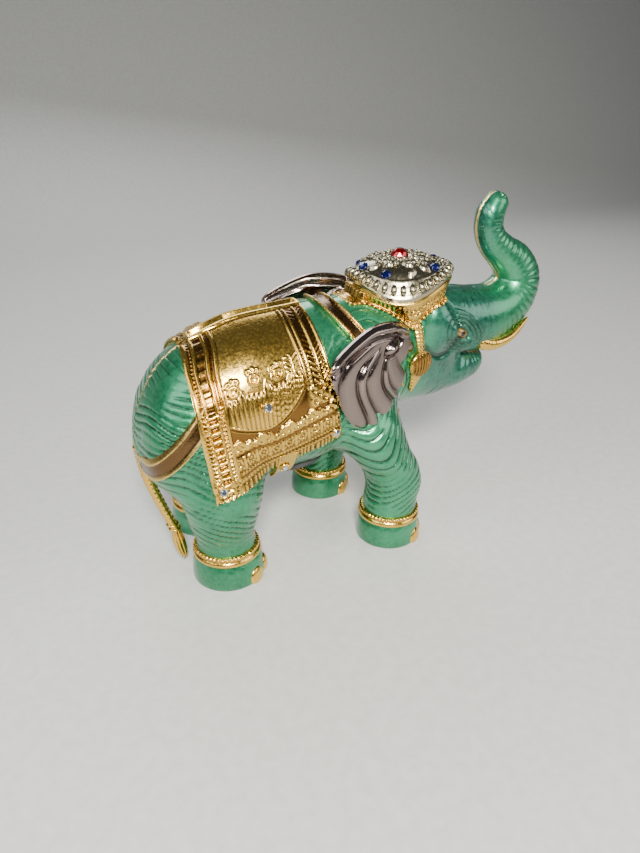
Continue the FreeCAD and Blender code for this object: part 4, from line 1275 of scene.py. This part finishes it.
def collar():
    na, nt = 360, 60
    angle = np.linspace(0.0, 2 * math.pi, na, endpoint=False)[None, :] * np.ones((nt, 1))
    t = np.linspace(0.0, 1.0, nt)[:, None] * np.ones((1, na))
    ways = np.stack([np.cos(angle), np.sin(angle), np.zeros_like(angle)], axis=-1)
    low_r = np.full(na, 15.0)
    for _ in range(4):
        x = CAP_X + low_r * np.cos(angle[0])
        z_low = COLLAR_LOW(x)
        origin = np.stack([np.full(na, CAP_X), np.zeros(na), z_low], axis=-1)
        found = ray_out(origin, ways[0], 20.0, 6.0, 0.5)
        low_r = 0.5 * low_r + 0.5 * np.clip(found, 9.0, 17.0)
    z_top = cap_rim(angle[0]) - 0.9
    z = z_top[None, :] * (1 - t) + z_low[None, :] * t
    origin = np.stack([np.full(z.shape, CAP_X), np.zeros_like(z), z], axis=-1)
    skin = ray_out(origin, ways, 20.0, 6.0, 0.5)
    bowl = 14.1 * (1 - t) + (low_r[None, :] + 0.2) * t
    r = np.maximum(np.minimum(skin + 0.9, 17.6), bowl)
    over = 0.30 * ridge(t, 0.10, 0.07, 0.03) + 0.25 * ridge(t, 0.86, 0.05, 0.03)
    tall = (z_top - z_low)[None, :]
    drop = t * tall
    flute = 0.22 * teeth(angle * 14.2, 1.25, 0.8) * step(0.2, 0.3, t) * (1 - step(0.72, 0.8, t))
    deep = step(4.0, 6.0, tall) * np.ones_like(t)
    cluster = 0.45 * beads(angle * 14.2 + 0.6 * drop, (drop + 0.75) % 1.5 - 0.75, 1.6,
        0.78) * deep * step(0.30, 0.4, t)
    h = np.where(cluster > 0, np.maximum(cluster, over), np.maximum(flute, over))
    place = origin + ways * (r + h)[..., None]
    inner = origin + ways * (r - 1.2)[..., None]
    shape = Shape()
    shape.grid(place, wrap_v=True, flip=True)
    shape.grid(inner, wrap_v=True)
    shape.grid(np.stack([place[0], inner[0]]), wrap_v=True)
    shape.grid(np.stack([place[-1], inner[-1]]), wrap_v=True, flip=True)
    edge = place[-1]
    run = np.concatenate([[0.0], np.cumsum(np.linalg.norm(np.diff(np.vstack([edge, edge[:1]]), axis=0),
        axis=1))])
    count = int(run[-1] / 1.35)
    closed = np.vstack([edge, edge[:1]])
    for k in range(count):
        at = (k + 0.5) * run[-1] / count
        centre = [np.interp(at, run, closed[:, c]) for c in range(3)]
        shape.ball(centre, 0.52, None, 7, 10)
    made = shape.make("cap_collar")
    depth = np.zeros(len(made.data.vertices))
    # The collar's low ground between its flutes, bands and beads is darkened: painted shade.
    painted_hollow_shade = np.clip(0.7 - 2.2 * h, 0.0, 1.0) * step(0.2, 0.3, t)
    depth[: painted_hollow_shade.size] = painted_hollow_shade.ravel()
    attribute(made, "carve", depth)
    piece(made, GILT, "gilt", "headdress_collar")


collar()


def side_patch(shape, outline_x, outline_z, side, height, under=0.6):
    """A raised patch on the flank: rows of X and Z with the height of each point above the skin."""
    y = side_y(outline_x, outline_z, side)
    top = np.stack([outline_x, side * (y + height), outline_z], axis=-1)
    low = np.stack([outline_x, side * (y - under), outline_z], axis=-1)
    shape.slab(top, low, flip=side > 0)
    return y


def pendant(side_name):
    side = SIDES[side_name]
    shape = Shape()
    # strap from the collar to the disc, the disc, and the drop under it
    t = np.linspace(0.0, 1.0, 40)[:, None] * np.ones((1, 14))
    w = np.ones((40, 1)) * np.linspace(-1.0, 1.0, 14)[None, :]
    x = 12.6 + 0.9 * t + w * (1.15 + 0.1 * np.cos(t * 3))
    z = 61.2 - 8.0 * t + 0 * w
    side_patch(shape, x, z, side, 0.55 + 0.5 * (1 - w**2) + 0.18 * teeth(t * 8.0, 1.0, 0.8))
    rho = np.linspace(0.02, 1.0, 34)[:, None]
    a = np.linspace(0.0, 2 * math.pi, 90)[None, :]
    x = PENDANT_X + PENDANT_RADIUS * rho * np.cos(a)
    z = PENDANT_Z + PENDANT_RADIUS * rho * np.sin(a)
    ribs = 0.42 * teeth(x, 0.95, 0.8) * (1 - step(0.78, 0.86, rho))
    height = 0.9 + 0.9 * np.sqrt(np.clip(1 - (rho * 0.98) ** 2, 0, 1)) + ribs + 0.25 * ridge(rho, 0.9,
        0.07, 0.03)
    side_patch(shape, x, z, side, height)
    t = np.linspace(0.0, 1.0, 44)[:, None] * np.ones((1, 18))
    w = np.ones((44, 1)) * np.linspace(-1.0, 1.0, 18)[None, :]
    half = 1.9 * (1 - t) ** 0.75 + 0.35
    x = 13.0 - 0.7 * t + w * half
    z = 47.8 - 5.6 * t - 0.4 * (1 - w**2)
    side_patch(shape, x, z, side, 0.5 + 0.9 * (1 - w**2) * (1 - 0.4 * t) + 0.15 * teeth(t * 5.6, 1.1, 0.8))
    made = shape.make(side_name + "_drop")
    spots = np.array([v.co for v in made.data.vertices]) / MM
    on_disc = 1.0 - step(3.3, 3.6, np.hypot(spots[:, 0] - PENDANT_X, spots[:, 2] - PENDANT_Z))
    # The disc is darker all over and darker still between its ribs, which is painted shade.
    attribute(made, "carve", on_disc * (0.75 + 0.35 * (1.0 - teeth(spots[:, 0], 0.95, 0.8))))
    piece(made, GILT, "gilt", side_name + "_cheek_pendant")


for name in SIDES:
    pendant(name)

# ---------------------------------------------------------------- ears

EAR = [
    (9.4, 58.0),
    (7.6, 62.4),
    (3.0, 64.6),
    (-4.0, 65.0),
    (-11.0, 62.6),
    (-17.2, 58.6),
    (-17.6, 54.4),
    (-15.4, 50.0),
    (-13.8, 45.6),
    (-11.0, 41.2),
    (-7.0, 38.6),
    (-2.6, 38.4),
    (1.6, 40.4),
    (5.0, 44.6),
    (7.8, 49.0),
    (6.2, 52.6),
    (8.6, 55.0),
]
EAR_PLATE_X, EAR_PLATE_Y, EAR_FLARE = 8.6, 14.8, math.tan(math.radians(17.0))


def ear(side_name):
    side = SIDES[side_name]
    rise = LEFT_EAR_RISE if side > 0 else 0.0
    na, nr = 300, 84
    edge = smooth_path([(x, 0.0, z) for x, z in EAR + EAR[:1]], na + 1)[:-1]
    centre = np.array([-3.5, 0.0, 53.0])
    rho = np.linspace(0.0, 1.0, nr)[1:][:, None]
    x = centre[0] + rho * (edge[:, 0] - centre[0])[None, :]
    z = centre[2] + rho * (edge[:, 2] - centre[2])[None, :]
    # folds fan out from the root under the rolled upper rim
    rx, rz = x - 0.0, z - 62.5
    reach = np.hypot(rx, rz)
    way = np.degrees(np.arctan2(-rz, -rx))
    sway = way + 15.0 * np.sin(reach / 5.0 - 0.4) + 5.0 * np.sin(way / 16.0)
    grow = step(2.5, 12.0, reach)
    drape = through([4.0, 36.0, 58.0, 70.0, 94.0, 108.0, 136.0, 172.0],
        [0.0, 1.0, 2.0, 3.0, 4.0, 5.0, 6.0, 7.0])(sway)
    rolls = np.sqrt(np.abs(np.sin(math.pi * drape)))
    tall = through([0.0, 0.5, 1.5, 2.5, 3.5, 4.5, 5.5, 7.0], [0.6, 1.9, 1.5, 2.1, 1.4, 1.9, 1.2, 0.8])(drape)
    h = grow * (rolls * tall - 0.5)
    # rolled rim along the top, small bump beside the root
    top_line = through([-18.0, -11.0, -4.0, 3.0, 7.6], [57.6, 61.3, 63.6, 63.2, 61.2])(x)
    roll = 1.5 * bump(z - top_line, 0.0, 1.7) * (1 - step(6.5, 9.0, x))
    groove = 0.6 * bump(z - top_line, -2.2, 1.0) * (1 - step(4.5, 7.0, x))
    h = np.maximum(h * (1 - step(-2.4, -1.2, z - top_line)), roll) - groove
    button = np.hypot((x - 2.6) * 0.85 + (z - 58.2) * 0.5, ((z - 58.2) * 0.85 - (x - 2.6) * 0.5) * 1.7)
    h = h * (1.0 - 0.8 * bump(button, 0.0, 5.0)) + 1.7 * bump(button, 0.0, 2.6) - 0.7 * bump(button, 3.1, 0.9)
    rim_fall = step(0.0, 0.06, 1.0 - rho)
    y = EAR_PLATE_Y + EAR_FLARE * (EAR_PLATE_X - x)
    y = y + (0.55 + h * 0.85) * np.where(rho > 0.94, 0.5 + 0.5 * rim_fall, 1.0) - 0.6 * step(2.0, 9.0, x)
    front = np.stack([x, side * y, z + rise], axis=-1)
    thick = 0.9 + 0.5 * (1 - rho)
    back = np.stack([x, side * (y - thick), z + rise], axis=-1)
    shape = Shape()
    turned = side > 0
    shape.grid(front, wrap_v=True, flip=not turned)
    shape.grid(back, wrap_v=True, flip=turned)
    shape.grid(np.stack([front[-1], back[-1]]), wrap_v=True, flip=not turned)
    for sheet in (front, back):
        middle_point = sheet[0].mean(axis=0)
        shape.add(np.concatenate([sheet[0], [middle_point]]), [[na, i, (i + 1) % na] for i in range(na)])
    # root that grows out of the head
    root_x = np.linspace(2.0, 10.2, 18)
    path = [(xx, side * (EAR_PLATE_Y - 1.2 - 0.20 * (xx - 2.0)), 59.0 - 0.45 * (xx - 2.0)
        + rise) for xx in root_x]
    shape.rod(path, 1.6 + 1.2 * np.sin(np.linspace(0.3, 2.9, 18)), 16)
    made = shape.make(side_name + "_ear_cast")
    depth = np.zeros(len(made.data.vertices))
    # Hollows of the folds, the groove under the rim and the ring round the button are darkened: painted
    # shade; the whole ear is a little darker too.
    painted_hollow_shade = np.clip(1.15 - 1.25 * rolls, 0.0, 1.0) * grow * (z < top_line - 2.0)
    painted_hollow_shade = np.maximum(painted_hollow_shade, np.maximum(groove / 0.6, bump(button, 3.1, 0.9)))
    depth[: painted_hollow_shade.size] = 0.28 + 0.72 * painted_hollow_shade.ravel()
    attribute(made, "carve", depth)
    piece(made, EAR_PEWTER_SHADED, "pewter", side_name + "_ear")


for name in SIDES:
    ear(name)

# ---------------------------------------------------------------- eyes, tusks, tail, bell, stones

for name, side in SIDES.items():
    shape = Shape()
    rho = np.linspace(0.01, 1.0, 24)[:, None]
    a = np.linspace(0.0, 2 * math.pi, 48)[None, :]
    along, across = 2.35 * rho * np.cos(a), 1.25 * rho * np.sin(a)
    x = EYE_X + EYE_COS * along + EYE_SIN * across
    z = EYE_Z - EYE_SIN * along + EYE_COS * across
    pupil = 1.0 - step(0.6, 0.85, np.hypot(along - 0.1, across))
    height = -0.75 + 1.0 * np.sqrt(np.clip(1 - rho**2 * 0.96, 0, 1)) * np.ones_like(a)
    side_patch(shape, x, z, side, height, 1.2)
    made = shape.make(name + "_eyeball")
    attribute(made, "carve", np.concatenate([pupil.ravel(), pupil.ravel()]))
    piece(made, AMBER, "amber", name + "_eye")

    shape = Shape()
    path = smooth_path([(37.6, 6.4 * side, 51.0), (42.0, 7.2 * side, 50.0), (48.0, 7.6 * side, 51.6),
        (53.9, 7.2 * side, 56.3)], 60)
    share = np.linspace(0, 1, 60)
    shape.rod(path, 2.1 * (1 - share) ** 0.7 + 0.35 + 0.06 * np.sin(share * 70.0) * (share < 0.3), 20, 0.92)
    made = shape.make(name + "_tusk_cast")
    piece(made, GILT, "gilt", name + "_tusk")


def tail():
    shape = Shape()
    spine = smooth_path([(-60.6, 0.0, 36.0), (-59.6, -0.8, 27.0), (-57.0, -2.6, 18.0),
        (-54.4, -4.2, 10.5)], 60)
    share = np.linspace(0, 1, 60)
    shape.rod(spine, 1.45 - 0.25 * share + 0.10 * np.sin(share * 120.0), 18, 1.0, (0.0, 1.0, 0.0))
    chooser = np.random.RandomState(5)
    for k in range(22):
        a = 2 * math.pi * k / 22
        reach = 0.85 * math.sqrt(chooser.uniform(0.2, 1.0))
        off = np.array([reach * math.cos(a), reach * math.sin(a), 0.0])
        end = chooser.uniform(0.6, 1.25)
        strand = [
            (-54.8 + off[0] * 0.6, -4.0 + off[1] * 0.6, 12.2),
            (-54.2 + off[0] * 1.5, -4.5 + off[1] * 1.5, 7.6),
            (-53.6 + off[0] * 1.3, -5.0 + off[1] * 1.3, 4.2),
            (-53.1 + off[0] * 0.3 * end, -5.3 + off[1] * 0.3, 1.3 + 0.9 * end),
        ]
        path = smooth_path(strand, 26)
        s = np.linspace(0, 1, 26)
        shape.rod(path, 0.30 + 0.26 * np.sin(math.pi * s**0.7), 8, 1.0, (0.0, 1.0, 0.0))
    for place in (0.93, 0.98):
        spot = spine[int(place * 59)]
        shape.ball(spot, (1.75, 1.75, 0.55), None, 8, 18)
    made = shape.make("tail_cast")
    piece(made, GILT, "gilt", "tail")


tail()

shape = Shape()
bell_rows = np.array([(0.45, 32.8), (0.5, 31.9), (1.0, 31.5), (1.45, 30.7), (1.65, 29.7), (1.6, 29.2),
    (1.3, 29.0)])
profile = smooth_path([(r, 0.0, z) for r, z in bell_rows], 40)
around = np.linspace(0, 2 * math.pi, 37)[:-1]
rings = np.stack(
    [
        BELL_X + profile[:, :1] * np.cos(around)[None, :],
        profile[:, :1] * np.sin(around)[None, :],
        profile[:, 2:] + 0 * around[None, :],
    ],
    axis=-1,
)
shape.grid(rings, wrap_v=True, flip=True)
shape.ball((BELL_X, 0.0, 29.2), 0.6, None, 8, 12)
# two links up to the throat
levels = np.arange(32.0, 42.0, 0.05)
under = body.at(np.stack([np.full(levels.shape, BELL_X), 0 * levels, levels], axis=-1))
throat = levels[np.argmax(under < 0.0)]
link = (throat - 32.2) / 2
for k in range(2):
    middle = 32.5 + link * (k + 0.5)
    turns = np.linspace(0.0, 2 * math.pi, 30)
    wide = 0.75 * np.sin(turns)
    path = np.stack([BELL_X + wide * (k == 0), wide * (k == 1), middle + 0.62 * link * np.cos(turns)],
        axis=-1)
    shape.rod(path, 0.24, 8, 1.0, (0.0, 1.0, 0.0) if k == 0 else (1.0, 0.0, 0.0))
bell = shape.make("bell_cast")
piece(bell, GILT, "gilt", "throat_bell")


def crystals(name, places, node, lift):
    stones, mounts = Shape(), Shape()
    for x, z, side in places:
        y = float(side_y(x, z, side))
        spot = np.array([x, side * y, z])
        n = body.normal(spot[None, :], 1.2)[0]
        base = spot + n * lift
        cut_stone(stones, base, 1.15, 0.6, axes_at(n), 0.5)
        collet(mounts, base - n * 0.1, 1.15, n)
    piece(stones.make(name, smooth=False), CRYSTAL, "crystal", node)
    made = mounts.make(name + "_collets")
    piece(made, GILT, "gilt")


for name, side in SIDES.items():
    spots = [(-32.4, 49.3, side), (-45.0, 30.6, side), (-14.2, 38.6, side)]
    crystals(name + "_cloth_stones", spots, name + "_crystals", 0.95)
crystals("girth_stones", [(-27.2, 30.4, -1.0), (-27.2, 30.4, 1.0)], "girth_crystals", 1.15)

# ---------------------------------------------------------------- anklets and toenails

for foot, (forward, outward, rows) in FEET.items():
    cx, cy = forward, outward

    def anklet_outline(x, y, z, cx=cx):
        level = 8.2 - 0.02 * (x - cx)
        return np.abs(z - level) - 1.55

    def anklet_profile(x, y, z, cx=cx, cy=cy):
        level = z - (8.2 - 0.02 * (x - cx))
        turn = np.arctan2(y - cy, x - cx)
        band_part = 0.72 * bump(level, -0.45, 1.25)
        row = 0.78 * beads(turn * 8.6, level - 0.95, 1.15, 0.62)
        return 0.22 + np.maximum(band_part, row)

    low, high = node_box(foot + "_anklet")
    # The groove between the band and the row of beads is darkened: painted shade.
    made = skin_piece(
        foot + "_bracelet",
        low - 1.2,
        high + 1.2,
        0.27,
        anklet_profile,
        anklet_outline,
        lambda x, y, z, cx=cx: 0.5 * bump(z - (8.2 - 0.02 * (x - cx)), 0.42, 0.35),
    )
    piece(made, GILT, "gilt", foot + "_anklet")

    shape = Shape()
    radius = rows[1][3]
    for k in range(4):
        a = math.radians((k - 1.5) * 37.0)
        out = np.array([math.cos(a), math.sin(a), 0.0])
        axes = [out, [-math.sin(a), math.cos(a), 0.0], [0.0, 0.0, 1.0]]
        centre = np.array([cx, cy, 1.5]) + out * (radius - 0.55)
        shape.ball(centre, (1.3, 2.5, 2.8), axes, 16, 26)
    made = shape.make(foot + "_nails")
    low_z = 0.12 * MM
    for vertex in made.data.vertices:
        vertex.co.z = max(vertex.co.z, low_z)
    piece(made, GILT, "gilt", foot + "_toenails")

# ---------------------------------------------------------------- stopper, screws and pins


def lathe(rows, centre, turns=72):
    profile = np.array(rows, float)
    around = np.linspace(0, 2 * math.pi, turns + 1)[:-1]
    return np.stack(
        [
            centre[0] + profile[:, :1] * np.cos(around)[None, :],
            centre[1] + profile[:, :1] * np.sin(around)[None, :],
            profile[:, 1:] + 0 * around[None, :],
        ],
        axis=-1,
    )


def stopper():
    low, high = node_box("belly_plug")
    centre = (low + high)[:2] / 2
    flange = (high - low)[0] / 2
    bottom, top = low[2], high[2]
    shelf = bottom + 1.2
    neck = flange - 1.32
    rows = [(0.01, shelf + 0.2), (neck - 3.2, shelf + 0.2), (neck - 2.9, shelf + 0.4),
        (neck - 2.8, top - 0.2)]
    rows += [(neck - 2.6, top), (neck - 0.5, top), (neck - 0.1, top - 0.4), (neck - 0.3, top - 1.6)]
    rows += [(neck, top - 2.2), (neck - 0.3, top - 2.8), (neck - 0.3, shelf + 0.9),
        (neck - 0.3, shelf + 0.05)]
    rows += [(flange - 0.3, shelf), (flange, shelf - 0.3), (flange, bottom + 0.35), (flange - 0.35, bottom)]
    rows += [(8.0, bottom), (7.6, bottom + 0.25), (6.9, bottom + 0.25), (6.5, bottom), (0.01, bottom)]
    shape = Shape()
    shape.grid(lathe(rows, centre), wrap_v=True)
    # finger tab
    path = smooth_path([(centre[0] - 4.5, centre[1], bottom + 0.15), (centre[0], centre[1], bottom + 0.12),
                        (centre[0] + 4.5, centre[1], bottom + 0.15)], 20)
    shape.rod(path, 0.75, 14, 0.35)
    made = shape.make("rubber_stopper")
    piece(made, RUBBER, "rubber", "belly_plug", rides="stopper")


stopper()
for node in ("shell_screws", "locating_pins"):
    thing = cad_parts[node]
    thing.data.materials.clear()
    thing.data.materials.append(STEEL)


# ---------------------------------------------------------------- floor, light, camera


def stage():
    shape = Shape()
    size = 900.0
    xs = np.linspace(-size, size, 40)
    ys = np.linspace(-size, size, 40)
    points = np.zeros((40, 40, 3))
    points[..., 0] = xs[:, None]
    points[..., 1] = ys[None, :]
    rise = np.maximum(ys - 420.0, 0.0)
    points[..., 2] = (rise**2 / 420.0)[None, :]
    shape.grid(points)
    floor = shape.make("floor")
    made, tree, shader = new_material("pale_floor")
    where = coordinates(tree)
    grain = noise_map(tree, where, 380.0, 5.0)
    colour = mixed(tree, scaled(tree, grain, 0.35, 0.65, 0.0, 1.0), (0.60, 0.60, 0.57), (0.66, 0.66, 0.63))
    drive(
        tree,
        shader,
        Base_Color=colour,
        Roughness=scaled(tree, grain, 0.3, 0.7, 0.45, 0.6),
        Normal=bumped(tree, grain, 0.12, 0.0003),
    )
    floor.data.materials.append(made)


def lamp(name, place, target, size, power, colour=(1.0, 1.0, 1.0)):
    data = bpy.data.lights.new(name, "AREA")
    data.energy = power
    data.shape = "RECTANGLE"
    data.size, data.size_y = size
    data.color = colour
    thing = bpy.data.objects.new(name, data)
    bpy.context.scene.collection.objects.link(thing)
    place = np.array(place, float)
    away = place - np.array(target, float)
    away /= np.linalg.norm(away)
    right = np.cross((0.0, 0.0, 1.0), away)
    right /= np.linalg.norm(right)
    up = np.cross(away, right)
    turn = Matrix(np.stack([right, up, away], axis=1).tolist())
    thing.matrix_world = Matrix.Translation(place) @ turn.to_4x4()


stage()
lamp("key", (-0.12, -0.30, 0.30), (0.0, 0.0, 0.04), (0.10, 0.10), 3.4, (1.0, 0.97, 0.92))
lamp("soft", (-0.45, -0.10, 0.40), (0.0, 0.0, 0.04), (0.35, 0.35), 1.25, (0.94, 0.98, 1.0))
lamp("fill", (0.40, -0.35, 0.30), (0.0, 0.0, 0.04), (0.40, 0.30), 1.2, (1.0, 0.97, 0.93))
lamp("back", (0.10, 0.45, 0.35), (0.0, 0.0, 0.05), (0.50, 0.20), 1.6)

world = bpy.data.worlds.new("studio")
world.use_nodes = True
world.node_tree.nodes["Background"].inputs["Color"].default_value = (0.32, 0.34, 0.36, 1.0)
world.node_tree.nodes["Background"].inputs["Strength"].default_value = 0.28
bpy.context.scene.world = world

camera_data = bpy.data.cameras.new("camera")
camera_data.lens = 27.05
camera_data.sensor_width = 36.0
camera = bpy.data.objects.new("camera", camera_data)
bpy.context.scene.collection.objects.link(camera)
camera.location = (-0.0775, -0.1481, 0.1144)
camera.rotation_euler = (math.radians(90 - CAMERA_PITCH), 0.0, math.radians(-CAMERA_TURN))
bpy.context.scene.camera = camera
